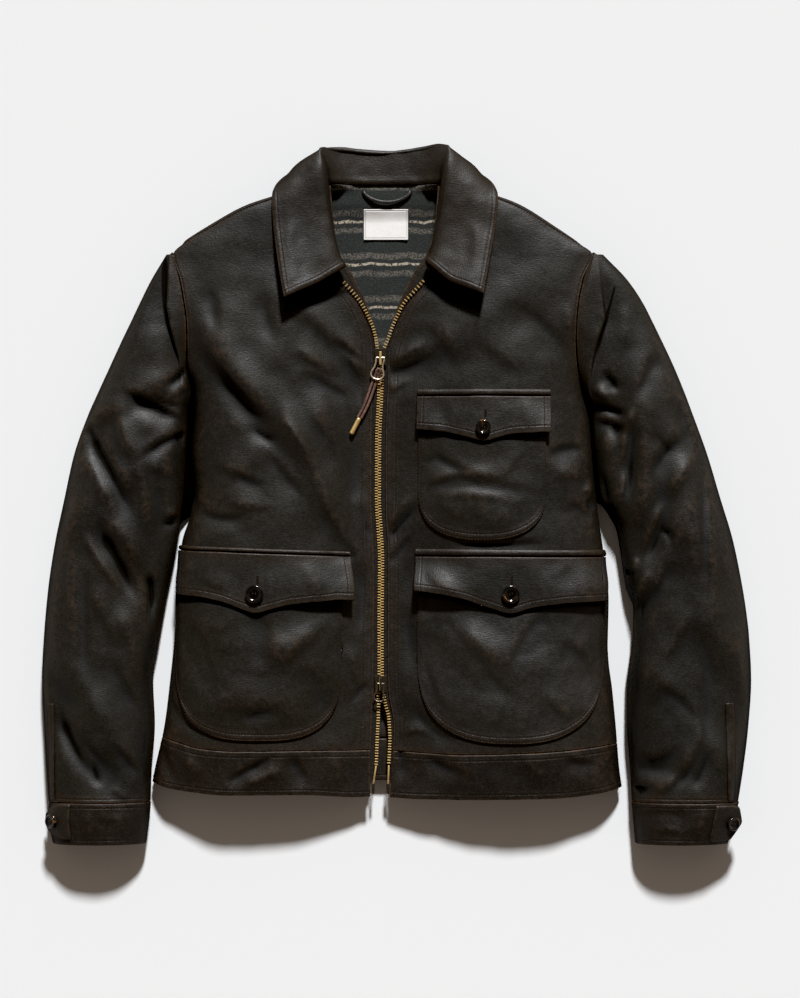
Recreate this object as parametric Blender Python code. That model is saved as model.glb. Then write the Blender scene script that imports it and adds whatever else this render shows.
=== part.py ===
# A waxed cotton zip jacket laid out flat on its back, front up.
#
# The jacket rests on z = 0, the neck towards +Y and the hem towards -Y, with the wearer's right
# arm at -X.  Every piece that a maker would cut or fasten is an object of its own.  All the sizes
# and tables below are in millimetres, and the meshes are made in metres.
#
# A panel is a thin wall built on rows of points: its table gives the outline and the heights at a
# few stations, and a smooth curve through each column gives the rows between them.

import math

import bmesh
import bpy
import numpy as np
from mathutils import Matrix, Vector

MM = 0.001
SHARP_FROM = math.radians(40)

# The drafting tables are centred near the chest.  This moves the finished jacket so that the
# middle of its outline stands over the origin.
CENTRE_X = 1.7
CENTRE_Y = 3.387

# Cloth and seams
CLOTH = 1.8               # waxed cotton with its lining behind it
COLLAR_WALL = 2.4         # two layers and an interlining
BAND_WALL = 2.4           # the doubled hem band and cuffs
LINING_WALL = 1.2
TAPE_WALL = 0.9
LABEL_WALL = 0.6
SEAM = 0.3                # clear gap between two pieces at a seam
LAYER = 0.4               # clear gap under a piece that lies on another

# Zip, buttons and fastenings
CHAIN_WIDTH = 3.0         # one half of the closed chain
CHAIN_HEIGHT = 3.4
CHAIN_SINK = 2.6          # chain middle below the cloth edge beside it
FLAP_BUTTON_RADIUS = 10.0
CHEST_BUTTON_RADIUS = 8.2
CUFF_BUTTON_RADIUS = 7.5
BUTTON_HEIGHT = 3.6
BUTTON_CLEAR = 1.0        # under a button, where its thread shank is
SLIDER_WIDTH = 12.6
SLIDER_PLATE = 1.3
SLIDER_NECK = 1.6         # the bar between its two plates, which parts the chain
BRIDGE_WIDTH = 2.6
BRIDGE_WALL = 1.5
BRIDGE_TOP = 27.6
BRIDGE_ENDS = (-7.6, 6.4)  # from the pull's hinge
BRIDGE_LEG = 2.2
HINGE_Z = 24.8
PULL_WIRE = 0.9
PIN_LENGTH = 11.0
PIN_HEIGHT = 3.0
PIN_WIDTHS = {"left": 2.6, "right": 3.6}
TAPE_SINK = 2.5           # top of the tape below the cloth edge
TAPE_HIDDEN = 5.0         # how far the tape runs back under the cloth
FACING_SINK = 4.9
FACING_WALL = 1.2
FACING_HIDDEN = 12.0      # how far the facing runs back under the front
LACE_RADIUS = 1.5
LACE_TIP_RADIUS = 2.4

# The leather loop inside the neck
LOOP_FROM = (-33.0, 328.8)
LOOP_SPAN = 49.0
LOOP_SAG = 13.0
LOOP_WIDTH = 4.4
LOOP_WALL = 1.8
LOOP_RISE = 2.4

# Heights of the rounded body
BACK_RADIUS = 16.0        # width of the curve from the back up to the side seam
CROWN_AT = 0.5            # where a front is highest, from the side seam (0) to the zip (1)
FALL_POWER = 2.3          # how squarely a panel turns down at its sides
SHOULDER_TURN = 12.0      # depth of the back's roll over the shoulder
FALL_CLEAR = 5.0          # lift of the back's neck over the collar that lies under it
SIDE_SEAM = 9.0           # height of the side seam over the floor
ARMPIT = (90.0, 22.0)     # where the side seam ends, and how soon the armhole reaches the floor
BACK_BOW = 0.6            # how far the back's hem dips at its two ends

# Colours and how rough each surface is
CLOTH_COLOUR = (0.030, 0.026, 0.022)
CLOTH_WORN = (0.042, 0.033, 0.025)
CLOTH_ROUGH = 0.5
LINING_COLOUR = (0.022, 0.025, 0.023)
WOOL_ROUGH = 0.95
TAPE_COLOUR = (0.020, 0.018, 0.016)
TAPE_ROUGH = 0.8
LABEL_COLOUR = (0.80, 0.76, 0.70)
LOOP_COLOUR = (0.020, 0.015, 0.012)
LACE_COLOUR = (0.12, 0.06, 0.045, 1)
HORN_COLOUR = (0.012, 0.010, 0.009)
HORN_ROUGH = 0.15
BRASS = (0.46, 0.30, 0.09)
PULL_METAL = (0.50, 0.42, 0.30)
METAL_ROUGH = 0.3


# ---------------------------------------------------------------- tables

class Table:
    # Named columns over a first column, read with a smooth curve that never overshoots its rows.
    def __init__(self, columns, rows):
        order = sorted(rows)
        self.key = np.array([row[0] for row in order], float)
        self.columns = {}
        for index, name in enumerate(columns[1:], start=1):
            self.columns[name] = np.array([row[index] for row in order], float)

    def read(self, name, key):
        xs, ys = self.key, self.columns[name]
        key = min(max(key, xs[0]), xs[-1])
        i = min(int(np.searchsorted(xs, key, side="right")) - 1, len(xs) - 2)
        step = np.diff(xs)
        slope = np.diff(ys) / step
        ends = []
        for k in (i, i + 1):
            if k == 0 or k == len(xs) - 1:
                ends.append(slope[min(k, len(slope) - 1)])
            elif slope[k - 1] * slope[k] <= 0:
                ends.append(0.0)
            else:
                ends.append(2 * slope[k - 1] * slope[k] / (slope[k - 1] + slope[k]))
        t = (key - xs[i]) / step[i]
        h = step[i]
        return (ys[i] * (1 + 2 * t) * (1 - t) ** 2 + ys[i + 1] * t * t * (3 - 2 * t)
                + h * ends[0] * t * (1 - t) ** 2 - h * ends[1] * t * t * (1 - t))


# side_x, side_z: the side seam, then the armhole, then the shoulder seam
# edge_x, edge_z: the zip edge, then the neck edge;  crown_z: the highest line of the panel
FRONT_COLUMNS = ("y", "side_x", "side_z", "edge_x", "edge_z", "crown_z")
LEFT_FRONT = Table(FRONT_COLUMNS, (
    (-322, -262.0, 8, -26.5, 20, 39),
    (-289, -255.8, 8, -26.3, 20, 41),
    (-241, -245.2, 9, -24.6, 20, 42),
    (-204, -240.4, 9, -22.8, 20, 42),
    (-135, -233.6, 9, -22.3, 20, 42),
    (-82, -231.0, 9, -21.8, 20, 42),
    (-47, -226.6, 9, -22.9, 20, 42),
    (-20, -218.4, 9, -24.4, 20, 42),
    (7, -213.8, 9, -24.9, 20, 42),
    (44, -216.8, 9, -24.9, 20, 42),
    (87, -214.1, 9, -24.3, 20, 42),
    (110, -215.4, 10, -23.5, 20, 42),
    (140, -220.4, 23, -23.3, 20, 41.5),
    (154, -219.8, 27, -23.9, 20, 41),
    (168, -219.6, 30, -25.4, 21, 40.5),
    (187, -220.2, 32, -31.0, 23, 39.5),
    (206, -222.7, 32, -40.8, 25, 38),
    (231, -227.3, 30, -62.0, 27, 35.5),
    (257, -235.0, 26, -67.2, 27.5, 33),
    (272, -219.3, 26.5, -69.1, 28, 32.5),
    (286, -194.7, 27, -70.7, 28, 32),
    (304, -162.3, 28, -72.2, 28.5, 31.5),
    (316, -129.0, 28.5, -73.4, 28.5, 31),
    (331, -76.4, 29, -75.0, 29, 29)))
RIGHT_FRONT = Table(FRONT_COLUMNS, (
    (-322, 244.0, 8, -5.8, 20, 39),
    (-289, 238.9, 8, -3.6, 20, 41),
    (-241, 234.8, 9, -1.6, 20, 42),
    (-204, 231.2, 9, -7.2, 20, 42),
    (-162, 226.4, 9, -8.0, 20, 42),
    (-109, 227.4, 9, -7.8, 20, 42),
    (-56, 221.6, 9, -8.0, 20, 42),
    (-14, 215.7, 9, -10.0, 20, 42),
    (44, 209.9, 9, -10.3, 20, 42),
    (90, 206.0, 9, -9.4, 20, 42),
    (110, 198.8, 16, -8.3, 20, 42),
    (140, 193.2, 26, -7.5, 20, 41.5),
    (154, 191.7, 29, -6.9, 20, 41),
    (168, 191.1, 31, -2.1, 21, 40.5),
    (187, 191.8, 33, 4.8, 23, 39.5),
    (206, 193.6, 33, 14.8, 25, 38),
    (231, 198.6, 31, 36.6, 27, 35.5),
    (257, 209.0, 27, 42.5, 27.5, 33),
    (272, 188.5, 27.5, 45.4, 28, 32.5),
    (286, 165.5, 28, 47.6, 28, 32),
    (304, 137.0, 28.5, 49.4, 28.5, 31.5),
    (316, 108.6, 29, 50.9, 28.5, 31),
    (331, 54.2, 29, 52.8, 29, 29)))

# outer_x: the edge away from the body;  inner_x, inner_z: the edge beside the body, then the
# armhole;  roll: width of the sleeve head that stands up beside the armhole, and step: how far
# the cloth drops past it
SLEEVE_COLUMNS = ("y", "outer_x", "outer_z", "inner_x", "inner_z", "crown_z", "roll", "step")
LEFT_SLEEVE = Table(SLEEVE_COLUMNS, (
    (-322.5, -368.2, 12, -259.6, 10, 41, 6, 0),
    (-289, -370.5, 12, -258.6, 9, 40, 6, 0),
    (-241, -373.1, 11, -255.2, 9, 39, 6, 0),
    (-194, -375.3, 11, -257.0, 9, 38, 6, 0),
    (-146, -373.1, 11, -249.6, 9, 38, 6, 0),
    (-98, -368.9, 11, -241.2, 9, 38, 6, 0),
    (-50, -361.8, 11, -231.8, 9, 38, 6, 0),
    (-3, -351.9, 11, -225.2, 9, 38, 6, 0),
    (45, -341.3, 11, -222.4, 9, 38, 6, 0),
    (87, -326.5, 11, -219.8, 9, 38, 6, 0),
    (110, -316.3, 11, -216.0, 10, 38, 6, 0),
    (140, -302.5, 11, -221.0, 23, 37, 6, 3),
    (168, -289.6, 11, -220.2, 30, 37, 13, 7),
    (187, -280.4, 11, -220.8, 32, 36, 17, 9),
    (206, -271.4, 11, -223.3, 32, 35, 18, 9),
    (231, -258.9, 11, -227.9, 30, 33, 16, 7),
    (257, -243.0, 13, -235.6, 26, 28, 4, 0)))
RIGHT_SLEEVE = Table(SLEEVE_COLUMNS, (
    (-322.5, 364.6, 12, 251.4, 10, 41, 6, 0),
    (-289, 369.9, 12, 249.8, 9, 40, 6, 0),
    (-241, 375.8, 11, 246.3, 9, 39, 6, 0),
    (-194, 378.7, 11, 246.9, 9, 38, 6, 0),
    (-146, 376.3, 11, 252.6, 9, 38, 6, 0),
    (-118, 373.0, 11, 253.2, 9, 38, 6, 0),
    (-98, 369.9, 11, 245.8, 9, 38, 6, 0),
    (-50, 360.4, 11, 238.0, 9, 38, 6, 0),
    (-34, 356.2, 11, 234.8, 9, 38, 6, 0),
    (-18, 351.3, 11, 226.4, 9, 38, 6, 0),
    (-3, 346.6, 11, 217.6, 9, 38, 6, 0),
    (45, 332.2, 11, 210.9, 9, 38, 6, 0),
    (90, 315.9, 11, 207.2, 9, 38, 6, 0),
    (110, 308.4, 11, 199.4, 16, 38, 6, 1),
    (140, 296.0, 11, 193.8, 26, 37, 13, 4),
    (168, 282.8, 11, 191.7, 31, 37, 22, 5),
    (187, 273.5, 11, 192.4, 33, 36, 28, 5),
    (206, 263.8, 11, 194.2, 33, 35, 34, 4),
    (231, 247.0, 11, 199.2, 31, 33, 33, 2),
    (257, 221.6, 13, 209.6, 27, 28, 6, 0)))

LEFT_CUFF = Table(SLEEVE_COLUMNS, (
    (-367, -363.2, 14, -264.5, 12, 40, 6, 0),
    (-340, -368.7, 13, -260.8, 11, 42, 6, 0),
    (-322.8, -367.4, 12, -259.4, 10, 42, 6, 0)))
RIGHT_CUFF = Table(SLEEVE_COLUMNS, (
    (-367, 353.5, 14, 255.0, 12, 40, 6, 0),
    (-345, 359.5, 13, 253.2, 11, 42, 6, 0),
    (-322.8, 365.6, 12, 251.2, 10, 42, 6, 0)))

# The lower edge of each front and the seam above its hem band
HEM = Table(("x", "edge", "seam"), (
    (-257, -299.5, -251.5),
    (-232, -307.6, -259.0),
    (-205, -311.6, -265.4),
    (-168, -314.3, -267.7),
    (-95, -314.0, -267.2),
    (-37, -317.5, -267.7),
    (-24, -317.2, -267.7),
    (-4, -317.8, -268.2),
    (24, -319.2, -270.0),
    (69, -319.6, -271.8),
    (115, -319.0, -270.8),
    (170, -317.6, -268.1),
    (206, -314.0, -264.8),
    (241, -306.5, -260.0)))
SEAM_LEVEL = -265         # where a column's place along the band seam is read
BACK_HEM = -300.5
BACK_BAND_SEAM = -256.0

# Middle of each half of the zip chain
ZIP = Table(("y", "left_x", "right_x"), (
    (-305, -23.3, -7.4),
    (-284, -20.1, -6.6),
    (-255, -19.0, -5.4),
    (-233, -17.9, -6.6),
    (-218, -17.5, -10.4),
    (-205, -18.0, -12.3),
    (-194, -16.85, -13.55),
    (-130, -16.95, -13.65),
    (-66, -16.45, -13.15),
    (-34, -17.95, -14.65),
    (-3, -19.75, -16.45),
    (61, -19.45, -16.15),
    (119, -17.15, -13.85),
    (144, -17.05, -13.75),
    (154, -18.3, -12.6),
    (168, -20.3, -7.4),
    (179, -23.0, -3.4),
    (192, -28.5, 2.4),
    (206, -36.0, 9.6),
    (218, -45.4, 20.2),
    (230.5, -57.2, 31.4)))
FACING_EDGE = Table(("y", "left_x", "right_x"), (
    (168, -20.8, -4.6),
    (178, -22.6, -3.0),
    (196, -27.0, 0.8),
    (222, -38.0, 11.7),
    (242, -48.5, 22.3),
    (260, -60.0, 34.5),
    (286, -64.8, 41.4),
    (330, -68.0, 45.6)))

# One row for each station of the collar, from the wearer's right front round the neck to the
# left: the seam, the roll line, the middle of the leaf and its outer edge
COLLAR = (
    ((-61.8, 238, 27.0), (-51.8, 243.5, 31.5), (-80.6, 226.0, 39.0), (-116.3, 209.8, 48.5)),
    ((-65.0, 255, 27.0), (-60.5, 258.0, 32.5), (-91.0, 241.5, 38.5), (-119.5, 225.0, 46.0)),
    ((-67.4, 275, 27.2), (-65.8, 279.0, 33.0), (-97.0, 265.0, 38.0), (-124.2, 254.0, 42.0)),
    ((-69.8, 297, 27.6), (-70.2, 304.0, 34.0), (-100.0, 295.0, 38.0), (-128.0, 284.0, 38.5)),
    ((-71.2, 316, 27.9), (-74.0, 332.0, 35.0), (-103.0, 322.5, 37.5), (-130.0, 312.0, 34.5)),
    ((-72.2, 332, 27.6), (-76.5, 352.0, 34.5), (-106.0, 339.0, 32.0), (-128.0, 327.5, 22.5)),
    ((-67.0, 333.2, 21.5), (-78.0, 367.5, 28.0), (-104.0, 352.0, 19.5), (-117.0, 338.5, 7.5)),
    ((-58.0, 333.0, 15.5), (-69.0, 369.6, 17.5), (-88.0, 359.0, 7.5), (-99.0, 335.0, 1.4)),
    ((-47.0, 332.7, 12.0), (-52.0, 369.4, 10.5), (-60.0, 365.0, 4.2), (-70.0, 322.0, 1.3)),
    ((-30.0, 332.5, 10.6), (-33.0, 367.8, 7.8), (-35.0, 363.0, 3.2), (-40.0, 320.0, 1.3)),
    ((-11.0, 332.5, 10.4), (-12.0, 366.8, 7.4), (-12.0, 362.0, 3.0), (-12.0, 319.5, 1.3)),
    ((8.0, 332.5, 10.6), (10.0, 368.4, 7.8), (12.0, 363.5, 3.2), (17.0, 320.0, 1.3)),
    ((25.0, 332.7, 12.0), (29.0, 370.8, 10.5), (37.0, 366.0, 4.2), (47.0, 322.0, 1.3)),
    ((36.0, 333.0, 15.5), (46.5, 373.62, 17.5), (65.0, 361.0, 7.5), (77.0, 335.0, 1.4)),
    ((45.0, 333.2, 21.5), (56.0, 368.5, 28.0), (83.0, 351.5, 19.5), (96.0, 338.0, 7.5)),
    ((50.0, 332, 27.6), (54.0, 347.0, 34.5), (84.0, 338.0, 32.0), (107.0, 327.0, 22.5)),
    ((49.0, 316, 27.9), (51.4, 326.0, 35.0), (81.0, 319.5, 37.5), (108.7, 311.5, 34.5)),
    ((47.1, 297, 27.6), (48.0, 302.0, 34.0), (78.0, 292.5, 38.0), (105.8, 284.0, 38.5)),
    ((44.2, 275, 27.2), (43.6, 277.5, 33.0), (73.5, 265.0, 38.0), (100.8, 255.0, 42.0)),
    ((40.6, 255, 27.0), (38.5, 259.5, 32.5), (67.0, 244.0, 38.5), (95.8, 228.5, 46.0)),
    ((36.5, 238, 27.0), (32.5, 248.5, 31.5), (57.0, 228.0, 39.0), (92.8, 213.6, 48.5)))
STAND_BOW = 2.0           # how far the stand bows in between the seam and the roll
LEAF_RISE = 3.0           # how far the leaf stands over a straight line just past the roll

# Folds large enough to change the form: a soft ridge (height above 0) or trough (below 0) along
# a line from (x0, y0) to (x1, y1), fading at both ends
# x0, y0, x1, y1, width, height
FOLDS = (
    (-186, 160, -124, 78, 15, 3.0),
    (-196, 134, -128, 58, 12, -3.5),
    (-108, 79, -70, -10, 11, 3.5),
    (-62, 6, -36, -58, 11, 3.0),
    (-96, 196, -34, 146, 13, 3.0),
    (-88, 176, -40, 118, 12, -3.0),
    (0, 146, 44, 166, 12, 2.5),
    (4, 120, 60, 140, 13, -2.5),
    (70, 180, 150, 230, 20, 2.0),
    (-60, 110, -40, 20, 14, -2.5),
    (-330, 60, -246, 112, 16, -3.5),
    (-296, 96, -236, 128, 12, 3.0),
    (-345, -20, -250, 52, 16, 3.0),
    (-300, -120, -250, -40, 16, -3.0),
    (-352, -210, -300, -300, 14, -3.5),
    (-330, -200, -268, -290, 14, 3.0),
    (236, 100, 246, 20, 12, -3.5),
    (262, 120, 262, 10, 14, 3.0),
    (282, 0, 264, -52, 13, -3.5),
    (300, 40, 330, -100, 18, 3.0),
    (276, -190, 340, -270, 15, 3.0),
    (256, -286, 300, -292, 11, -3.5))

# Patch pockets: middle, half width, where the sides stop being straight, bottom, squareness of
# the rounded corners, top edge under the flap, and how far the middle stands out
POCKETS = (
    ("pocket_lower_left", "left", -143.8, 86.8, -170, -256.7, 3.0, -84, 3.0),
    ("pocket_lower_right", "right", 121.8, 97.2, -172, -259.9, 2.6, -84, 3.0),
    ("pocket_chest", "right", 92.0, 66.8, 8, -44.7, 2.6, 84, 3.0))

# Flaps: top corners, bottom corners and the point between them, then how far the lower edge
# lifts at its left, its point and its right
FLAPS = (
    ("flap_lower_left", "left", (-226.8, -56.2), (-46.6, -62.6), (-47.1, -109.3),
     (-146.5, -121.7), (-227.4, -102.9), (2.0, 1.0, 6.0)),
    ("flap_lower_right", "right", (22.0, -62.4), (220.2, -63.4), (218.0, -109.3),
     (121.9, -122.1), (24.4, -99.1), (9.0, 1.0, 3.0)),
    ("flap_chest", "right", (24.2, 106.6), (163.9, 106.6), (162.2, 67.7),
     (93.9, 59.9), (24.0, 71.6), (3.0, 0.5, 6.0)))

# The raised strips along the flaps' upper edges
WELTS = (
    ("welt_lower_left", "left", (-225.8, -50.4), (-47.1, -56.7), (-46.8, -62.2), (-226.6, -55.8)),
    ("welt_lower_right", "right", (22.0, -53.6), (220.5, -55.2), (221.4, -63.0), (22.0, -62.0)),
    ("welt_chest", "right", (24.5, 114.8), (163.9, 114.8), (163.9, 107.0), (24.3, 107.0)))
POCKET_WALL = 1.8
FLAP_BASE = 2 * LAYER + POCKET_WALL
FLAP_WALL = 2.0
WELT_WALL = 3.4

# The pointed end of each cuff, which buttons over its outer side.  Its rows follow the cuff's own
# columns (0 is the cuff's side): how far each stands out and up, and its half width
TABS = (
    ("left", -1, -342.0, ((4, 0, 0, 18.5), (3, 0, 0, 18.5), (2, 0, 0, 14.5), (1, 0, 0, 8.5),
                          (0, 0, 0, 1.0))),
    ("right", 1, -344.0, ((4, 0, 0, 19.5), (3, 0, 0.4, 19.5), (2, 1.0, 2.5, 18.5),
                          (1, 1.5, 8.0, 15.0), (0, 6.2, 13.0, 1.0))))
TAB_WALL = 2.0
TAB_CLEAR = 0.9
CUFF_BUTTONS = {"left": 1.65, "right": 2.0}

# The faced slit above each cuff: the sleeve it lies on and its corners
PLACKETS = (
    ("placket_left", "sleeve_left", (-368.0, -218), (-360.5, -218), (-359.5, -320), (-364.5, -320)),
    ("placket_right", "sleeve_right", (348.5, -217), (358.5, -217), (359.0, -320), (351.0, -320)))
PLACKET_WALL = 1.6

# Sliders: y of the end towards the joined chain, of the end where it parts, and of the hinge,
# then the size of the pull and how far it leans
SLIDERS = (
    ("upper", 140.0, 158.0, 148.0, 1.0, 11),
    ("lower", -189.0, -207.0, -197.0, 0.82, 6))

# Half of a pull's outline, from the bar it hinges on down to its round end: across and down
PULL_OUTLINE = ((0.0, 0.0), (4.2, 0.0), (4.4, -2.0), (4.0, -5.0), (3.9, -8.0), (4.5, -11.3),
                (6.2, -15.0), (6.8, -18.0), (5.8, -20.9), (3.2, -22.7), (0.0, -23.3))

# The lace: one cord doubled through the upper pull, its two ends held in a metal tip
LACE = ((-39.4, 84.6, 25.9), (-36.2, 90.5, 25.4), (-31.8, 100.0, 24.6), (-28.2, 110.0, 23.4),
        (-25.4, 118.0, 22.1), (-22.7, 125.0, 21.8), (-20.3, 130.5, 23.0), (-19.2, 134.6, 24.6),
        (-17.5, 136.4, 25.0), (-15.9, 134.6, 24.8), (-16.9, 130.0, 23.2), (-19.2, 124.6, 21.8),
        (-21.4, 118.0, 22.1), (-24.2, 109.5, 23.3), (-28.1, 99.3, 24.4), (-32.8, 89.4, 25.3),
        (-36.0, 83.6, 25.8))
LACE_POINTS = 34
LACE_TIP = ((-37.8, 83.9, 25.9), (-46.4, 67.0, 27.6))

# Inside the neck: the bare label and what shows of the lining
LABEL = ((-33.2, 306.4), (13.8, 306.4), (13.8, 274.2), (-33.2, 274.2))
LINING = ((-64, 330.2), (42, 330.2), (82, 290), (82, 190), (16, -254.8), (-52, -254.8),
          (-106, 190), (-106, 290))

# The back's top edge: shoulder seam, neck, shoulder seam.  turn is how far the cloth rolls over
# (180 brings it right over to the front), and depth is how far it stands past the seam.
BACK_TOP = Table(("x", "y", "turn", "depth"), (
    (-235.0, 257.0, 180, 1.5),
    (-219.3, 272.0, 180, 2.5),
    (-194.7, 286.0, 180, 4.0),
    (-162.3, 304.0, 180, 4.0),
    (-129.0, 316.0, 180, 3.5),
    (-76.4, 331.0, 180, 3.0),
    (-67.0, 330.4, 112, 3.0),
    (-58.0, 330.4, 76, 12.0),
    (-47.0, 330.4, 42, 12.0),
    (-30.0, 330.4, 16, 12.0),
    (-11.0, 330.4, 14, 12.0),
    (8.0, 330.4, 16, 12.0),
    (25.0, 330.4, 42, 12.0),
    (36.0, 330.4, 76, 12.0),
    (45.0, 330.4, 112, 3.0),
    (54.2, 331.0, 180, 3.0),
    (108.6, 316.0, 180, 3.5),
    (137.0, 304.0, 180, 4.0),
    (165.5, 286.0, 180, 4.0),
    (188.5, 272.0, 180, 2.5),
    (209.0, 257.0, 180, 1.5)))

# Sewn-on buttons: name, what it lies on, x, y, radius
FLAP_BUTTONS = (
    ("button_lower_left", "left", -147.0, -102.0, FLAP_BUTTON_RADIUS),
    ("button_lower_right", "right", 121.6, -102.0, FLAP_BUTTON_RADIUS),
    ("button_chest", "right", 93.1, 73.7, CHEST_BUTTON_RADIUS))

# The rows and columns that every panel shares, so that neighbours meet point for point
SIDE_ROWS = (-240, -212, -184, -156, -128, -100, -72, -47, -20, 7, 35, 62, 90)
ARMHOLE_ROWS = (110, 128, 147, 168, 187, 206, 231, 257)
SHOULDER_ROWS = (272, 286, 304, 316, 331)
FRONT_COLUMNS_AT = (0.0, 0.012, 0.05, 0.115, 0.205, 0.32, 0.45, 0.58, 0.72, 0.86, 1.0)
SLEEVE_ROWS = (-322.5, -296, -268, -240, -212, -184, -156, -128, -100, -72, -44, -16, 12, 40,
               65, 90)
SLEEVE_COLUMNS_AT = (0.0, 0.015, 0.06, 0.14, 0.26, 0.42, 0.60, 0.80, 1.0)
ZIP_ROWS = (-303, -284, -255, -233, -218, -205, -194, -162, -130, -98, -66, -34, -3, 29, 61, 90,
            119, 144, 154, 168, 179, 192, 206, 218, 230.5)
FACING_ROWS = (168, 178, 196, 209, 222, 242, 260, 286, 308, 328)
CORNER_STEPS = 4          # facets round the curve from the back up to a seam
SHOULDER_STEPS = 4        # facets round the back's roll over the shoulder
NECK_MIDDLE = -11.0


def smooth(t):
    t = min(max(t, 0.0), 1.0)
    return t * t * (3 - 2 * t)


def folds(x, y):
    # The sum of all the folds at a point, in millimetres of height
    total = 0.0
    for x0, y0, x1, y1, width, height in FOLDS:
        dx, dy = x1 - x0, y1 - y0
        length = math.hypot(dx, dy)
        along = ((x - x0) * dx + (y - y0) * dy) / length
        across = ((y - y0) * dx - (x - x0) * dy) / length
        past = max(-along, along - length, 0.0) / (0.6 * length)
        total += height * math.exp(-(across / width) ** 2) * (1 - smooth(past))
    return total


# ---------------------------------------------------------------- surfaces

def fall(part, power, turn):
    # Height of a cloth curve from its edge (part 0) to its crown (part 1).  turn 1 leaves the
    # edge upright, as at a side seam, and turn 0 leaves it sloping, as at an armhole.
    q = 1 - min(max(part, 0.0), 1.0)
    return (1 - q ** power) ** (1 / (1 + turn))


def seam_turn(edge_z):
    return min(max((30 - edge_z) / 20, 0.0), 1.0)


def front_point(table, u, y):
    side_x, side_z = table.read("side_x", y), table.read("side_z", y)
    edge_x, edge_z = table.read("edge_x", y), table.read("edge_z", y)
    crown = table.read("crown_z", y)
    x = side_x + (edge_x - side_x) * u
    if u < CROWN_AT:
        z = side_z + (crown - side_z) * fall(u / CROWN_AT, FALL_POWER, seam_turn(side_z))
    else:
        down = math.cos((u - CROWN_AT) / (1 - CROWN_AT) * math.pi / 2) ** 1.3
        z = edge_z + (crown - edge_z) * down
    inside = smooth(u / 0.12) * smooth((1 - u) / 0.1)
    return np.array((x, y, z + folds(x, y) * inside))


def sleeve_point(table, column, y):
    # column counts along SLEEVE_COLUMNS_AT, and the last two columns hold the head's roll
    outer_x, outer_z = table.read("outer_x", y), table.read("outer_z", y)
    inner_x, inner_z = table.read("inner_x", y), table.read("inner_z", y)
    crown, roll, step = (table.read(name, y) for name in ("crown_z", "roll", "step"))
    width = inner_x - outer_x
    roll = min(roll, 0.35 * abs(width)) * math.copysign(1, width)
    drop = 0.45 * min(abs(roll), 8) * math.copysign(1, width)
    main = width - roll - drop
    count = len(SLEEVE_COLUMNS_AT)
    if column < count:
        x = outer_x + main * SLEEVE_COLUMNS_AT[column]
    elif column == count:
        x = inner_x - roll
    elif column == count + 1:
        x = inner_x - 0.25 * roll
    else:
        x = inner_x
    part = (x - outer_x) / width
    if part < 0.5:
        z = outer_z + (crown - outer_z) * fall(part * 2, FALL_POWER, 1)
    else:
        z = inner_z + (crown - inner_z) * fall((1 - part) * 2, FALL_POWER, seam_turn(inner_z))
    past = (inner_x - roll - x) / (drop or 1)
    z -= step * smooth(past) * math.exp(-max(past - 1, 0) * abs(drop) / 38) * smooth(part / 0.35)
    inside = smooth(part / 0.12) * smooth((1 - part) / 0.12)
    return np.array((x, y, z + folds(x, y) * inside))


def corner(edge_x, edge_z, towards, radius, steps):
    # The curve that brings cloth from an upright edge down to the floor
    points = []
    for k in range(steps + 1):
        angle = math.pi / 2 * k / steps
        points.append((edge_x + towards * radius * (1 - math.cos(angle)),
                       edge_z * (1 - math.sin(angle))))
    return points


def under_row(outer_x, outer_z, inner_x, inner_z, y):
    # One row across an under sleeve, from its outer seam down along the floor to its inner seam
    side = math.copysign(1, inner_x - outer_x)
    width = abs(inner_x - outer_x)
    radius = min(BACK_RADIUS, 0.35 * width)
    left = corner(outer_x, outer_z - SEAM, side, radius, CORNER_STEPS)
    right = corner(inner_x, inner_z - SEAM, -side, radius, CORNER_STEPS)
    middle = [(outer_x + (inner_x - outer_x) * 0.5, 0.0)]
    row = left + middle + right[::-1]
    return [np.array((x, y, z)) for x, z in row]


# ---------------------------------------------------------------- meshes

def grid_normals(grid, flip):
    # Unit normals at the points of a grid, turned over with flip.  Two walls meet edge to edge
    # at a seam: along the sides of the body the normals lie level, and over an armhole or a
    # shoulder they stand upright.
    rows, columns = len(grid), len(grid[0])
    points = np.array(grid)
    normals = np.zeros_like(points)
    for i in range(rows):
        for j in range(columns):
            a = points[min(i + 1, rows - 1), j] - points[max(i - 1, 0), j]
            b = points[i, min(j + 1, columns - 1)] - points[i, max(j - 1, 0)]
            n = np.cross(b, a)
            if i in (0, rows - 1):
                n[1] = 0
            if j in (0, columns - 1):
                height = points[i, j, 2]
                n[2] *= 1 - smooth((height - 2) / 5) * smooth((17 - height) / 5)
                n[:2] *= 1 - smooth((height - 17) / 5)
            normals[i, j] = n / np.linalg.norm(n)
    return -normals if flip else normals


def make_object(name, bm, colour, roughness, metallic=0.0):
    mesh = bpy.data.meshes.new(name)
    bm.to_mesh(mesh)
    bm.free()
    mesh.shade_smooth()
    mesh.set_sharp_from_angle(angle=SHARP_FROM)
    thing = bpy.data.objects.new(name, mesh)
    bpy.context.scene.collection.objects.link(thing)
    material = bpy.data.materials.new(name)
    material.use_nodes = True
    shader = material.node_tree.nodes["Principled BSDF"]
    shader.inputs["Base Color"].default_value = (*colour, 1)
    shader.inputs["Roughness"].default_value = roughness
    shader.inputs["Metallic"].default_value = metallic
    mesh.materials.append(material)
    return thing


def to_world(point):
    return Vector(((point[0] - CENTRE_X) * MM, (point[1] - CENTRE_Y) * MM, point[2] * MM))


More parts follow.
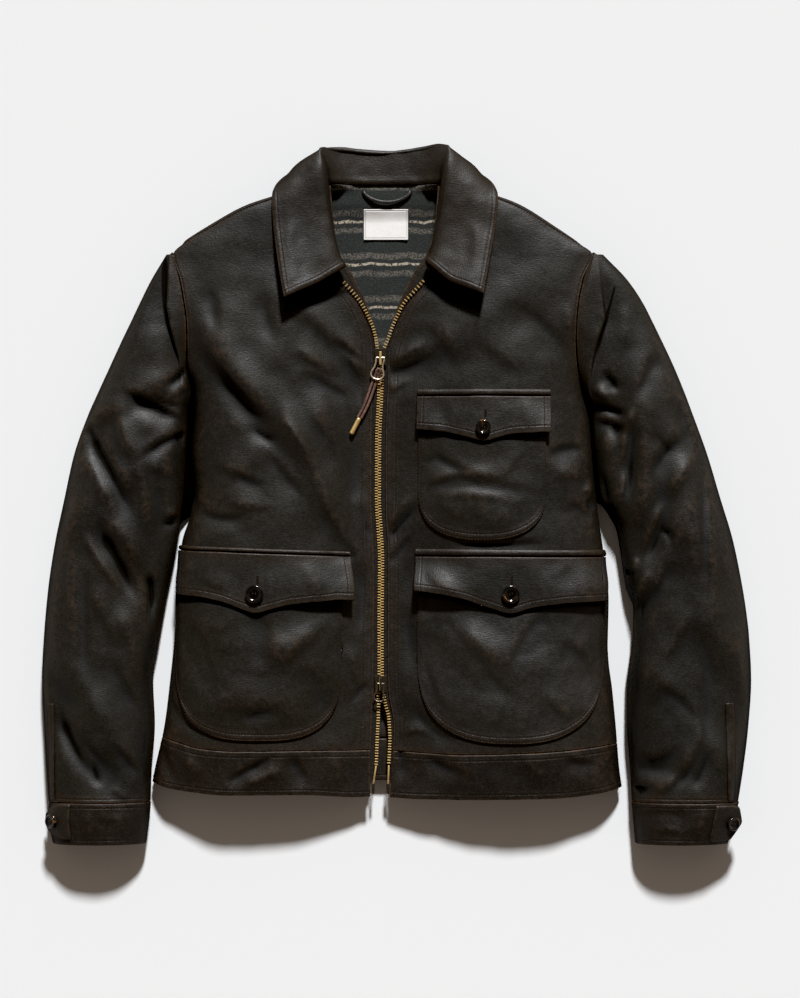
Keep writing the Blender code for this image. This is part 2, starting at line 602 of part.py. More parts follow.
def close_shell(bm, top, bottom, ring=False):
    # Faces between two grids of vertices and along their open edges
    rows, columns = len(top), len(top[0])
    spans = columns if ring else columns - 1
    for i in range(rows - 1):
        for j in range(spans):
            k = (j + 1) % columns
            a, b, c, d = top[i][j], top[i][k], top[i + 1][k], top[i + 1][j]
            bm.faces.new((a, b, c))
            bm.faces.new((a, c, d))
            a, b, c, d = bottom[i][j], bottom[i][k], bottom[i + 1][k], bottom[i + 1][j]
            bm.faces.new((c, b, a))
            bm.faces.new((d, c, a))
    edges = []
    for j in range(spans):
        k = (j + 1) % columns
        edges.append((top[0][k], top[0][j], bottom[0][k], bottom[0][j]))
        edges.append((top[-1][j], top[-1][k], bottom[-1][j], bottom[-1][k]))
    if not ring:
        for i in range(rows - 1):
            edges.append((top[i][0], top[i + 1][0], bottom[i][0], bottom[i + 1][0]))
            edges.append((top[i + 1][-1], top[i][-1], bottom[i + 1][-1], bottom[i][-1]))
    for a, b, c, d in edges:
        bm.faces.new((a, b, c))
        bm.faces.new((b, d, c))
    bmesh.ops.recalc_face_normals(bm, faces=bm.faces)


def shell(name, grid, wall, colour, roughness, flip=False, ring=False, centred=False,
          normals=None):
    # A closed wall on a grid of points: the grid is its outer face, or its middle if centred
    if normals is None:
        normals = ring_normals(grid, flip) if ring else grid_normals(grid, flip)
    points = np.array(grid)
    outer = points + normals * (wall / 2 if centred else 0)
    inner = points - normals * (wall / 2 if centred else wall)
    bm = bmesh.new()
    top = [[bm.verts.new(to_world(p)) for p in row] for row in outer]
    bottom = [[bm.verts.new(to_world(p)) for p in row] for row in inner]
    close_shell(bm, top, bottom, ring)
    return make_object(name, bm, colour, roughness)


def ring_normals(grid, flip):
    points = np.array(grid)
    rows = len(points)
    normals = np.zeros_like(points)
    for i in range(rows):
        along = points[min(i + 1, rows - 1)] - points[max(i - 1, 0)]
        across = np.roll(points[i], -1, axis=0) - np.roll(points[i], 1, axis=0)
        n = np.cross(across, along)
        if i in (0, rows - 1):
            n[:, 1] = 0
        normals[i] = n / np.linalg.norm(n, axis=1)[:, None]
    return -normals if flip else normals


def patch(name, base, outline, low, high, colour, roughness):
    # A layer that lies on a panel: the panel's own facets inside a convex outline, moved out
    # along its normals by low (underside) and high (top), which may be numbers or functions
    grid, normals = base
    bm = bmesh.new()
    lift = bm.verts.layers.float_vector.new("lift")
    rows, columns = len(grid), len(grid[0])
    verts = []
    for i in range(rows):
        verts.append([])
        for j in range(columns):
            vert = bm.verts.new(grid[i][j])
            vert[lift] = normals[i][j]
            verts[i].append(vert)
    for i in range(rows - 1):
        for j in range(columns - 1):
            a, b, c, d = verts[i][j], verts[i][j + 1], verts[i + 1][j + 1], verts[i + 1][j]
            bm.faces.new((a, b, c))
            bm.faces.new((a, c, d))
    middle = Vector((sum(p[0] for p in outline), sum(p[1] for p in outline), 0)) / len(outline)
    for k, start in enumerate(outline):
        end = outline[(k + 1) % len(outline)]
        edge = Vector((end[0] - start[0], end[1] - start[1], 0))
        out = Vector((edge.y, -edge.x, 0)).normalized()
        if out.dot(Vector((start[0], start[1], 0)) - middle) < 0:
            out = -out
        bmesh.ops.bisect_plane(bm, geom=bm.verts[:] + bm.edges[:] + bm.faces[:], dist=1e-5,
                               plane_co=(start[0], start[1], 0), plane_no=out, clear_outer=True)
    bmesh.ops.triangulate(bm, faces=bm.faces[:], quad_method="BEAUTY", ngon_method="BEAUTY")
    low_at = low if callable(low) else lambda x, y: low
    high_at = high if callable(high) else lambda x, y: high
    bm.verts.index_update()
    shell_bm = bmesh.new()
    tops, bottoms = {}, {}
    for vert in bm.verts:
        place, n = vert.co.copy(), vert[lift].copy()
        tops[vert.index] = shell_bm.verts.new(to_world(place + n * high_at(place.x, place.y)))
        bottoms[vert.index] = shell_bm.verts.new(to_world(place + n * low_at(place.x, place.y)))
    for face in bm.faces:
        ids = [v.index for v in face.verts]
        shell_bm.faces.new([tops[i] for i in ids])
        shell_bm.faces.new([bottoms[i] for i in reversed(ids)])
    for edge in bm.edges:
        if edge.is_boundary:
            a, b = (v.index for v in edge.verts)
            shell_bm.faces.new((tops[a], tops[b], bottoms[b]))
            shell_bm.faces.new((tops[a], bottoms[b], bottoms[a]))
    bm.free()
    bmesh.ops.recalc_face_normals(shell_bm, faces=shell_bm.faces)
    return make_object(name, shell_bm, colour, roughness)


def tube(name, rings, colour, roughness, metallic=0.0, loop=False):
    # A solid bar through rings of points, capped at both ends, or closed on itself with loop
    bm = bmesh.new()
    verts = [[bm.verts.new(to_world(p)) for p in ring] for ring in rings]
    count = len(rings[0])
    for i in range(len(rings) if loop else len(rings) - 1):
        here, following = verts[i], verts[(i + 1) % len(rings)]
        for j in range(count):
            k = (j + 1) % count
            bm.faces.new((here[j], here[k], following[k], following[j]))
    if not loop:
        bm.faces.new(verts[0][::-1])
        bm.faces.new(verts[-1])
    bmesh.ops.recalc_face_normals(bm, faces=bm.faces)
    return make_object(name, bm, colour, roughness, metallic)


def circle_rings(path, radius, sides, loop=False):
    # Round sections along a path, square to it
    points = [Vector(p) for p in path]
    rings = []
    for i, point in enumerate(points):
        after = points[(i + 1) % len(points)] if loop else points[min(i + 1, len(points) - 1)]
        before = points[i - 1] if loop or i else points[0]
        along = (after - before).normalized()
        side = along.cross(Vector((0, 0, 1))).normalized()
        up = side.cross(along)
        ring = []
        for k in range(sides):
            angle = 2 * math.pi * (k + 0.5) / sides
            ring.append(point + side * radius * math.cos(angle) + up * radius * math.sin(angle))
        rings.append(ring)
    return rings


def block(name, x, y, z, bevel=0.4):
    # A brass box between pairs of limits, with its edges rounded
    bm = bmesh.new()
    bmesh.ops.create_cube(bm, size=1)
    for vert in bm.verts:
        place = (x[vert.co.x > 0], y[vert.co.y > 0], z[vert.co.z > 0])
        vert.co = to_world(place)
    if bevel:
        bmesh.ops.bevel(bm, geom=bm.edges[:], offset=bevel * MM, segments=1, affect="EDGES")
    return make_object(name, bm, BRASS, METAL_ROUGH, 1.0)


def join(target, others):
    # Boolean unions that make one body of several overlapping shapes
    for other in others:
        other.hide_render = True
        other.display_type = "WIRE"
        union = target.modifiers.new("join", "BOOLEAN")
        union.operation = "UNION"
        union.object = other
    return target


# ---------------------------------------------------------------- fronts, band and back

def front_grid(table):
    rows = []
    for y in ("seam",) + SIDE_ROWS + ARMHOLE_ROWS + SHOULDER_ROWS:
        row = []
        for u in FRONT_COLUMNS_AT:
            if y == "seam":
                x = front_point(table, u, SEAM_LEVEL)[0]
                row.append(front_point(table, u, HEM.read("seam", x) + SEAM / 2))
            else:
                row.append(front_point(table, u, y))
        rows.append(row)
    return rows


def band_grid(table):
    rows = []
    for part in (0.0, 0.5, 1.0):
        row = []
        for u in FRONT_COLUMNS_AT:
            x = front_point(table, u, SEAM_LEVEL)[0]
            top, bottom = HEM.read("seam", x) - SEAM / 2, HEM.read("edge", x)
            row.append(front_point(table, u, bottom + (top - bottom) * part))
        rows.append(row)
    return rows


def under_z(y):
    # Height of the back and under sleeve at the side: a seam below the arm, the floor above it
    return SIDE_SEAM * (1 - smooth((y - ARMPIT[0]) / ARMPIT[1]))


def neck_lift(x, y):
    return FALL_CLEAR * smooth((y - 292) / 22) * smooth((108 + min(x, -x - 22)) / 20)


def back_row(y):
    # One row across the back, from side seam to side seam over the floor
    left_x, right_x = LEFT_FRONT.read("side_x", y), RIGHT_FRONT.read("side_x", y)
    if y < 95:
        left_z = LEFT_FRONT.read("side_z", y) - SEAM
        right_z = RIGHT_FRONT.read("side_z", y) - SEAM
    else:
        left_z = right_z = under_z(y)
    left = corner(left_x, left_z, 1, BACK_RADIUS, CORNER_STEPS)
    right = corner(right_x, right_z, -1, BACK_RADIUS, CORNER_STEPS)
    knots = BACK_TOP.key[1:-1]
    middle = []
    for knot in knots[1:-1]:
        part = (knot - knots[0]) / (knots[-1] - knots[0])
        x = left[-1][0] + (right[-1][0] - left[-1][0]) * part
        middle.append((x, neck_lift(x, y)))
    return [np.array((x, y, z)) for x, z in left + middle + right[::-1]]


def eased(start, end, steps):
    # Places between two knots, closer together near the first
    return [start + (end - start) * (1 - math.cos(math.pi / 2 / steps * k)) for k in range(steps)]


def back_top_places():
    # The columns' places along the back's top edge: those of a back row, carried up
    knots = [float(x) for x in BACK_TOP.key]
    left = eased(knots[0], knots[1], CORNER_STEPS)
    right = eased(knots[-1], knots[-2], CORNER_STEPS)
    return left + knots[1:-1] + right[::-1]


def back_top_seam(x, index, count):
    # Where a column of the back ends: straight across the tip of the shoulder, then on the seam
    knots = BACK_TOP.key
    first, second = BACK_TOP.read("y", knots[0]) + 2 * SEAM, BACK_TOP.read("y", knots[1]) + 2 * SEAM
    if index < CORNER_STEPS:
        return first + (second - first) * (x - knots[0]) / (knots[1] - knots[0])
    if index >= count - CORNER_STEPS:
        return first + (second - first) * (x - knots[-1]) / (knots[-2] - knots[-1])
    return BACK_TOP.read("y", x) + SEAM + 0.1


def back_grid():
    rows = [back_row(BACK_BAND_SEAM + SEAM / 2)]
    rows += [back_row(y) for y in SIDE_ROWS + ARMHOLE_ROWS[:-1]]
    last = rows[-1]
    places = back_top_places()
    folded = []
    for index, x in enumerate(places):
        turn, depth = math.radians(BACK_TOP.read("turn", x)), BACK_TOP.read("depth", x)
        silhouette = back_top_seam(x, index, len(places)) + depth * (1 - math.sin(turn))
        table = LEFT_FRONT if x < NECK_MIDDLE else RIGHT_FRONT
        height = table.read("side_z", BACK_TOP.read("y", x)) / 2
        folded.append((x, silhouette, turn, depth, height))
    for part in (0.34, 0.67, 0.87):
        row = []
        for index, (x, silhouette, *_) in enumerate(folded):
            y = last[index][1] + (silhouette - SHOULDER_TURN - last[index][1]) * part
            px = last[index][0] + (x - last[index][0]) * smooth(part)
            row.append(np.array((px, y, neck_lift(px, y))))
        rows.append(row)
    for step in range(SHOULDER_STEPS + 1):
        row = []
        for x, silhouette, turn, depth, height in folded:
            angle = turn * step / SHOULDER_STEPS
            reach = SHOULDER_TURN if angle < math.pi / 2 else min(depth, SHOULDER_TURN)
            y = silhouette - reach * (1 - math.sin(angle))
            z = height * (1 - math.cos(angle)) + neck_lift(x, y) * (1 - angle / math.pi)
            row.append(np.array((x, y, z)))
        rows.append(row)
    # the armhole edge follows the seam's own curve all the way up to the shoulder
    armhole_top = ARMHOLE_ROWS[-1]
    for row in rows[-4 - SHOULDER_STEPS:]:
        for edge, table, away in ((0, LEFT_FRONT, 1), (-1, RIGHT_FRONT, -1)):
            seam_x = table.read("side_x", min(row[edge][1], armhole_top))
            if row is not rows[-1]:
                seam_x += away * 2 * SEAM
            near = row[CORNER_STEPS if edge == 0 else -1 - CORNER_STEPS][0]
            for k, x in enumerate(eased(seam_x, near, CORNER_STEPS)):
                row[k if edge == 0 else -1 - k][0] = x
    return rows


def back_band_grid():
    rows = []
    for part in (0.0, 0.5, 1.0):
        top = BACK_BAND_SEAM - SEAM / 2
        row = back_row(BACK_HEM + (top - BACK_HEM) * part)
        for point in row:
            point[1] -= BACK_BOW * ((point[0] + 10) / 245) ** 2 * (1 - part)
        rows.append(row)
    return rows


def build_body():
    grids = {"left": front_grid(LEFT_FRONT), "right": front_grid(RIGHT_FRONT)}
    shell("front_left", grids["left"], CLOTH, CLOTH_COLOUR, CLOTH_ROUGH)
    shell("front_right", grids["right"], CLOTH, CLOTH_COLOUR, CLOTH_ROUGH, flip=True)
    shell("band_left", band_grid(LEFT_FRONT), BAND_WALL, CLOTH_COLOUR, CLOTH_ROUGH)
    shell("band_right", band_grid(RIGHT_FRONT), BAND_WALL, CLOTH_COLOUR, CLOTH_ROUGH, flip=True)
    shell("band_back", back_band_grid(), BAND_WALL, CLOTH_COLOUR, CLOTH_ROUGH, flip=True)
    back = back_grid()
    outward = grid_normals(back, True)
    for column in range(len(back[0])):
        # the top edge ends level where it meets the front, and under the neck
        rolled = back[-1][column][2] > 12
        outward[-1][column] = (0, 0, 1 if rolled else -1)
    shell("back", back, CLOTH, CLOTH_COLOUR, CLOTH_ROUGH, normals=outward)
    bases = {"left": (grids["left"], grid_normals(grids["left"], False)),
             "right": (grids["right"], grid_normals(grids["right"], True))}
    bases["inside"] = (np.array(back) - outward * CLOTH, -outward)
    return bases


# ---------------------------------------------------------------- what lies on the panels

def pocket_outline(middle, half, straight, bottom, square, top):
    # A square top and rounded lower corners
    outline = [(middle - half, top), (middle + half, top)]
    for k in range(13):
        angle = math.pi * k / 12
        across, down = math.cos(angle), math.sin(angle)
        x = middle + half * math.copysign(abs(across) ** (2 / square), across)
        outline.append((x, straight - (straight - bottom) * down ** (2 / square)))
    return outline


def build_pockets(bases):
    for name, front, middle, half, straight, bottom, square, top, puff in POCKETS:
        outline = pocket_outline(middle, half, straight, bottom, square, top)

        def outer(x, y, middle=middle, half=half, bottom=bottom, top=top, puff=puff):
            across = 1 - min(abs((x - middle) / half), 1) ** 2
            down = smooth((top - 38 - y) / 40) * smooth((y - bottom) / 40)
            return LAYER + POCKET_WALL + puff * across * down
        patch(name, bases[front], outline, LAYER, outer, CLOTH_WORN, CLOTH_ROUGH)
    for name, front, *corners in WELTS:
        patch(name, bases[front], corners, LAYER, LAYER + WELT_WALL, CLOTH_COLOUR, CLOTH_ROUGH)


def flap_lift(x, y, flap):
    # How far a flap's lower edge stands up: more at one corner than the other
    _, _, top_left, top_right, bottom_right, point, bottom_left, lifts = flap
    part = (x - bottom_left[0]) / (bottom_right[0] - bottom_left[0])
    level = lifts[0] * smooth(1 - part * 2.2) + lifts[2] * smooth((part - 0.545) * 2.2) + lifts[1]
    down = (top_left[1] - y) / (top_left[1] - bottom_left[1])
    return level * smooth(down)


def build_flaps(bases):
    for flap in FLAPS:
        name, front = flap[:2]
        outline = flap[2:7]
        patch(name, bases[front], outline,
              lambda x, y, flap=flap: FLAP_BASE + flap_lift(x, y, flap),
              lambda x, y, flap=flap: FLAP_BASE + FLAP_WALL + flap_lift(x, y, flap),
              CLOTH_WORN, CLOTH_ROUGH)


def button(name, place, normal, radius):
    # A turned button with a raised rim, on its own axis
    profile = ((0.78, 0.0), (1.0, 1.1), (1.0, 2.3), (0.84, BUTTON_HEIGHT), (0.62, 2.7), (0.0, 2.4))
    bm = bmesh.new()
    sides = 16
    rings = []
    for part, height in profile[:-1]:
        ring = []
        for k in range(sides):
            angle = 2 * math.pi * k / sides
            ring.append(bm.verts.new((radius * part * math.cos(angle) * MM,
                                      radius * part * math.sin(angle) * MM, height * MM)))
        rings.append(ring)
    for low, high in zip(rings, rings[1:]):
        for k in range(sides):
            bm.faces.new((low[k], low[(k + 1) % sides], high[(k + 1) % sides], high[k]))
    bm.faces.new(rings[0][::-1])
    top = bm.verts.new((0, 0, profile[-1][1] * MM))
    for k in range(sides):
        bm.faces.new((rings[-1][k], rings[-1][(k + 1) % sides], top))
    thing = make_object(name, bm, HORN_COLOUR, HORN_ROUGH)
    thing.location = to_world(place)
    thing.rotation_euler = Vector(normal).to_track_quat("Z", "Y").to_euler()
    return thing


def front_surface(front, x, y):
    # Height and normal of a front at a place on it
    table = LEFT_FRONT if front == "left" else RIGHT_FRONT

    def height(px, py):
        side, edge = table.read("side_x", py), table.read("edge_x", py)
        return front_point(table, (px - side) / (edge - side), py)[2]
    z = height(x, y)
    slope_x = (height(x + 8, y) - height(x - 8, y)) / 16
    slope_y = (height(x, y + 8) - height(x, y - 8)) / 16
    return z, Vector((-slope_x, -slope_y, 1)).normalized()


def build_flap_buttons():
    flaps = {flap[0].replace("flap", "button"): flap for flap in FLAPS}
    for name, front, x, y, radius in FLAP_BUTTONS:
        z, normal = front_surface(front, x, y)
        lift = FLAP_BASE + FLAP_WALL + flap_lift(x, y, flaps[name]) + BUTTON_CLEAR
        place = Vector((x, y, z)) + normal * lift
        button(name, place, normal, radius)


# ---------------------------------------------------------------- sleeves and cuffs

def sleeve_grid(table):
    count = len(SLEEVE_COLUMNS_AT) + 3
    return [[sleeve_point(table, column, y) for column in range(count)]
            for y in SLEEVE_ROWS + ARMHOLE_ROWS]


def under_grid(table):
    rows = []
    for y in SLEEVE_ROWS + ARMHOLE_ROWS:
        outer_x, outer_z = table.read("outer_x", y), table.read("outer_z", y)
        inner_x, inner_z = table.read("inner_x", y), table.read("inner_z", y)
        if y > 95:
            inner_z = under_z(y) + SEAM
        rows.append(under_row(outer_x, outer_z, inner_x, inner_z, y))
    return rows


def cuff_grid(table):
    rows = []
    for y in table.key:
        top = [sleeve_point(table, column, y) for column in range(len(SLEEVE_COLUMNS_AT) + 3)]
        outer_x, outer_z = table.read("outer_x", y), table.read("outer_z", y)
        inner_x, inner_z = table.read("inner_x", y), table.read("inner_z", y)
        bottom = under_row(outer_x, outer_z, inner_x, inner_z, y)
        rows.append(top + bottom[1:-1][::-1])
    return rows


def build_sleeves(bases):
    for side, table, cuff, flip in (("left", LEFT_SLEEVE, LEFT_CUFF, False),
                                    ("right", RIGHT_SLEEVE, RIGHT_CUFF, True)):
        top = sleeve_grid(table)
        shell("sleeve_top_" + side, top, CLOTH, CLOTH_COLOUR, CLOTH_ROUGH, flip=flip)
        shell("sleeve_under_" + side, under_grid(table), CLOTH, CLOTH_COLOUR, CLOTH_ROUGH,
              flip=not flip)
        ring = cuff_grid(cuff)
        shell("cuff_" + side, ring, BAND_WALL, CLOTH_COLOUR, CLOTH_ROUGH, flip=flip, ring=True)
        bases["sleeve_" + side] = (top, grid_normals(top, flip))
        bases["cuff_" + side] = (ring, ring_normals(ring, flip))


def strip_normals(grid):
    # Normals of a strip that runs down a cuff's outer side, facing out
    down = np.gradient(np.array(grid), axis=0)
    along = np.gradient(np.array(grid), axis=1)
    normals = np.cross(down, along)
    normals /= np.linalg.norm(normals, axis=2)[:, :, None]
    return normals * np.sign(normals[0, 2, 2])


def build_cuff_ends():
    for side, away, middle, rows in TABS:
        table = LEFT_CUFF if side == "left" else RIGHT_CUFF
        grid = []
        for column, out, up, half in rows:
            shift = np.array((out * away, 0, up))
            grid.append([sleeve_point(table, column, middle + across * half) + shift
                         for across in (-1, -0.5, 0, 0.5, 1)])
        normals = strip_normals(grid)
        outer = np.array(grid) + normals * (TAB_CLEAR + TAB_WALL)
        shell("cuff_end_" + side, outer, TAB_WALL, CLOTH_WORN, CLOTH_ROUGH, normals=normals)
        row = int(CUFF_BUTTONS[side])
        part = CUFF_BUTTONS[side] - row
        place = outer[row][2] * (1 - part) + outer[row + 1][2] * part
        normal = normals[row][2] * (1 - part) + normals[row + 1][2] * part
        button("button_cuff_" + side, place + normal * BUTTON_CLEAR, normal, CUFF_BUTTON_RADIUS)


def build_plackets(bases):
    for name, base, *corners in PLACKETS:
        patch(name, bases[base], corners, LAYER, LAYER + PLACKET_WALL, CLOTH_COLOUR, CLOTH_ROUGH)


# ---------------------------------------------------------------- collar

def collar_section(seam, roll, middle, edge):
    # The collar in section, from its seam up the stand, over the roll and down the leaf
    s, r, m, e = (np.array(p, float) for p in (seam, roll, middle, edge))
    up = np.array((0, 0, 1.0))
    leaf = m - r
    stand = r - s
    inward = np.array((-leaf[0], -leaf[1], 0.0))
    inward /= np.linalg.norm(inward)
    return [s, s + stand * 0.5 + inward * STAND_BOW - up * 0.4, r,
            r + leaf * 0.10 + up * LEAF_RISE * 0.75, r + leaf * 0.36 + up * LEAF_RISE * 0.8,
            m, (m + e) / 2 + up * 0.02 * e[2], e]


def build_collar():
    grid = [collar_section(*station) for station in COLLAR]
    shell("collar", grid, COLLAR_WALL, CLOTH_WORN, CLOTH_ROUGH, centred=True)


# ---------------------------------------------------------------- zip

def zip_side(side, y):
    # The cloth edge, the middle of the chain half and the side's direction away from the chain
    table = LEFT_FRONT if side == "left" else RIGHT_FRONT
    away = -1 if side == "left" else 1
    return table.read("edge_x", y), table.read("edge_z", y), ZIP.read(side + "_x", y), away


def build_zip():
    for side in ("left", "right"):
        tape, chain = [], []
        for y in ZIP_ROWS:
            edge_x, edge_z, chain_x, away = zip_side(side, y)
            top = edge_z - TAPE_SINK
            near = chain_x + away * (CHAIN_WIDTH / 2 + SEAM)
            edge = edge_x if abs(edge_x - near) > 1 else near + away
            tape.append([np.array((x, y, top)) for x in (edge + away * TAPE_HIDDEN, edge, near)])
            middle = edge_z - CHAIN_SINK
            half, tall = CHAIN_WIDTH / 2, CHAIN_HEIGHT / 2
            chain.append([(chain_x + dx, y, middle + dz) for dx, dz in
                          ((-half, -tall), (half, -tall), (half, tall), (-half, tall))])
        shell("zip_tape_" + side, tape, TAPE_WALL, TAPE_COLOUR, TAPE_ROUGH, flip=side == "right")
        tube("zip_chain_" + side, chain, BRASS, METAL_ROUGH, 1.0)
        facing = []
        for y in FACING_ROWS:
            edge_x, edge_z, _, away = zip_side(side, y)
            inner = FACING_EDGE.read(side + "_x", y)
            outer = edge_x + away * FACING_HIDDEN
            facing.append([np.array((x, y, edge_z - FACING_SINK))
                           for x in (outer, (outer + inner) / 2, inner)])
        shell("facing_" + side, facing, FACING_WALL, CLOTH_WORN, CLOTH_ROUGH,
              flip=side == "right")


def build_pins():
    # The stiff ends of the two chain halves, below their last teeth
    for side, width in PIN_WIDTHS.items():
        _, edge_z, chain_x, _ = zip_side(side, ZIP_ROWS[0])
        middle = edge_z - CHAIN_SINK
        top = ZIP_ROWS[0] - SEAM
        block("zip_pin_" + side, (chain_x - width / 2, chain_x + width / 2),
              (top - PIN_LENGTH, top), (middle - PIN_HEIGHT / 2, middle + PIN_HEIGHT / 2))


def slider_middle(y):
    return (ZIP.read("left_x", y) + ZIP.read("right_x", y)) / 2


def build_slider(name, closed_y, open_y, hinge_y):
    # Two plates round the chain, the neck that parts it, and the bridge that holds the pull
    middle = slider_middle(closed_y)
    out = math.copysign(1, open_y - closed_y)
    x = (middle - SLIDER_WIDTH / 2, middle + SLIDER_WIDTH / 2)
    y = sorted((closed_y, open_y))
    chain_z = LEFT_FRONT.read("edge_z", closed_y) - CHAIN_SINK
    low = chain_z - CHAIN_HEIGHT / 2 - LAYER - SLIDER_PLATE
    high = chain_z + CHAIN_HEIGHT / 2 + LAYER
    top = block(name, x, y, (high, high + SLIDER_PLATE))
    bottom = block(name + "_bottom", x, y, (low, low + SLIDER_PLATE))
    sink = 0.5
    neck = block(name + "_neck", (middle - SLIDER_NECK / 2, middle + SLIDER_NECK / 2),
                 sorted((open_y, open_y - out * 3.0)), (low + sink, high + sink), bevel=0)
    parts = [bottom, neck]
    across = (middle - BRIDGE_WIDTH / 2, middle + BRIDGE_WIDTH / 2)
    first, last = (hinge_y + end for end in BRIDGE_ENDS)
    leg = (high + SLIDER_PLATE - sink, BRIDGE_TOP - BRIDGE_WALL / 2)
    parts.append(block(name + "_leg_low", across, (first, first + BRIDGE_LEG), leg, bevel=0))
    parts.append(block(name + "_leg_high", across, (last - BRIDGE_LEG, last), leg, bevel=0))
    parts.append(block(name + "_bridge", across, (first, last),
                       (BRIDGE_TOP - BRIDGE_WALL, BRIDGE_TOP), bevel=0.35))
    join(top, parts)
    return middle


def build_pull(name, middle, hinge_y, size, lean):
    # A wire loop whose origin is on its hinge
    turn = math.radians(lean)
    outline = list(PULL_OUTLINE) + [(-x, y) for x, y in PULL_OUTLINE[-2:0:-1]]
    path = []
    for across, down in outline:
        across, down = across * size, down * size
        if down < -0.1:
            across, down = (across * math.cos(turn) + down * math.sin(turn),
                            down * math.cos(turn) - across * math.sin(turn))
        path.append((across + CENTRE_X, down + CENTRE_Y, 0.0))
    thing = tube(name, circle_rings(path, PULL_WIRE, 6, loop=True), PULL_METAL, METAL_ROUGH, 1.0,
                 loop=True)
    thing.location = to_world((middle, hinge_y, HINGE_Z))
    return thing


def smooth_path(points, count):
    # Points read evenly from a smooth curve through a route's own points
    route = [Vector(p) for p in points]
    ends = [route[0] * 2 - route[1]] + route + [route[-1] * 2 - route[-2]]
    fine = []
    for i in range(1, len(ends) - 2):
        a, b, c, d = ends[i - 1:i + 3]
        for k in range(12):
            t = k / 12
            fine.append(0.5 * (2 * b + (c - a) * t + (2 * a - 5 * b + 4 * c - d) * t * t
                               + (3 * b - a - 3 * c + d) * t ** 3))
    fine.append(route[-1])
    lengths = [0.0]
    for a, b in zip(fine, fine[1:]):
        lengths.append(lengths[-1] + (b - a).length)
    path, j = [], 0
    for k in range(count):
        goal = lengths[-1] * k / (count - 1)
        while j < len(lengths) - 2 and lengths[j + 1] < goal:
            j += 1
        part = (goal - lengths[j]) / (lengths[j + 1] - lengths[j])
        path.append(fine[j].lerp(fine[j + 1], min(part, 1.0)))
    return path


def build_lace():
    curve = bpy.data.curves.new("lace", "CURVE")
    curve.dimensions = "3D"
    spline = curve.splines.new("POLY")
    path = smooth_path(LACE, LACE_POINTS)
    spline.points.add(len(path) - 1)
    for point, place in zip(spline.points, path):
        point.co = (*to_world(place), 1)
    curve.bevel_depth = LACE_RADIUS * MM
    curve.bevel_resolution = 2
    curve.use_fill_caps = True
    lace = bpy.data.objects.new("lace", curve)
    bpy.context.scene.collection.objects.link(lace)
    material = bpy.data.materials.new("lace")
    material.use_nodes = True
    shader = material.node_tree.nodes["Principled BSDF"]
    shader.inputs["Base Color"].default_value = LACE_COLOUR
    curve.materials.append(material)
    start, end = (Vector(p) for p in LACE_TIP)
    along = (end - start).normalized()
    start = start + along * SEAM
    path = [start.lerp(end, part) for part in (0.0, 0.06, 0.94, 1.0)]
    rings = []
    for ring, middle, part in zip(circle_rings(path, 1.0, 10), path, (0.8, 1.0, 1.0, 0.7)):
        rings.append([middle + (p - middle) * LACE_TIP_RADIUS * part for p in ring])
    tube("lace_tip", rings, BRASS, METAL_ROUGH, 1.0)


# ---------------------------------------------------------------- neck

def build_neck(bases):
    patch("lining_back", bases["inside"], LINING, LAYER, LAYER + LINING_WALL, LINING_COLOUR,
          WOOL_ROUGH)
    under = 2 * LAYER + LINING_WALL
    patch("label", bases["inside"], LABEL, under, under + LABEL_WALL, LABEL_COLOUR, TAPE_ROUGH)
    rows = []
    steps = 12
    for k in range(steps + 1):
        part = k / steps
        arch = (4 * part * (1 - part)) ** 0.6
        x = LOOP_FROM[0] + LOOP_SPAN * part
        y = LOOP_FROM[1] - LOOP_SAG * arch
        z = FALL_CLEAR + CLOTH + under + LOOP_WALL + LOOP_RISE * arch
        across = Vector(((2 * part - 1) * 0.9, -1.0, 0)).normalized() * LOOP_WIDTH
        rows.append([np.array((x + across.x * way, y + across.y * way, z + bow))
                     for way, bow in ((0, 0), (0.5, 0.3), (1, 0))])
    shell("hanger_loop", rows, LOOP_WALL, LOOP_COLOUR, CLOTH_ROUGH)


# ---------------------------------------------------------------- the jacket

def build():
    for thing in list(bpy.data.objects):
        bpy.data.objects.remove(thing, do_unlink=True)
    bases = build_body()
    build_pockets(bases)
    build_flaps(bases)
    build_flap_buttons()
    build_sleeves(bases)
    build_plackets(bases)
    build_cuff_ends()
    build_collar()
    build_zip()
    build_pins()
    for name, closed_y, open_y, hinge_y, size, lean in SLIDERS:
        middle = build_slider("slider_" + name, closed_y, open_y, hinge_y)
        build_pull("pull_" + name, middle, hinge_y, size, lean)
    build_lace()
    build_neck(bases)


build()
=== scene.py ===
import math

import bpy
import numpy as np
from mathutils import Matrix, Vector


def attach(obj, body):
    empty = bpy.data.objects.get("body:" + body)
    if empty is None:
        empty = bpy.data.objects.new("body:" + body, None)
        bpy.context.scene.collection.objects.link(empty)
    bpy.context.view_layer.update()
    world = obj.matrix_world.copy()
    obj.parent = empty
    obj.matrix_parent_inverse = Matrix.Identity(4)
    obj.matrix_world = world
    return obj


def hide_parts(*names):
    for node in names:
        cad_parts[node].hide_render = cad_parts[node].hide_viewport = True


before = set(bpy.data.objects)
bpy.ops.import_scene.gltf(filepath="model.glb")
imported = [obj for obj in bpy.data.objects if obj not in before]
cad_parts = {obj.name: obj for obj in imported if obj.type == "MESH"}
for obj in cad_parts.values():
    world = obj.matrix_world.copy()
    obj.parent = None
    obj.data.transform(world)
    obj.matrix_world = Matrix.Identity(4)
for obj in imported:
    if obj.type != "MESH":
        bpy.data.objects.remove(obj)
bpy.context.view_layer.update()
bpy.ops.object.select_all(action="DESELECT")
print("frame loaded")

draft = {"mm": 0.001, "middle": (1.7, 3.387, 0.0), "seam": 0.3, "layer": 0.4, "cell": 3.0}


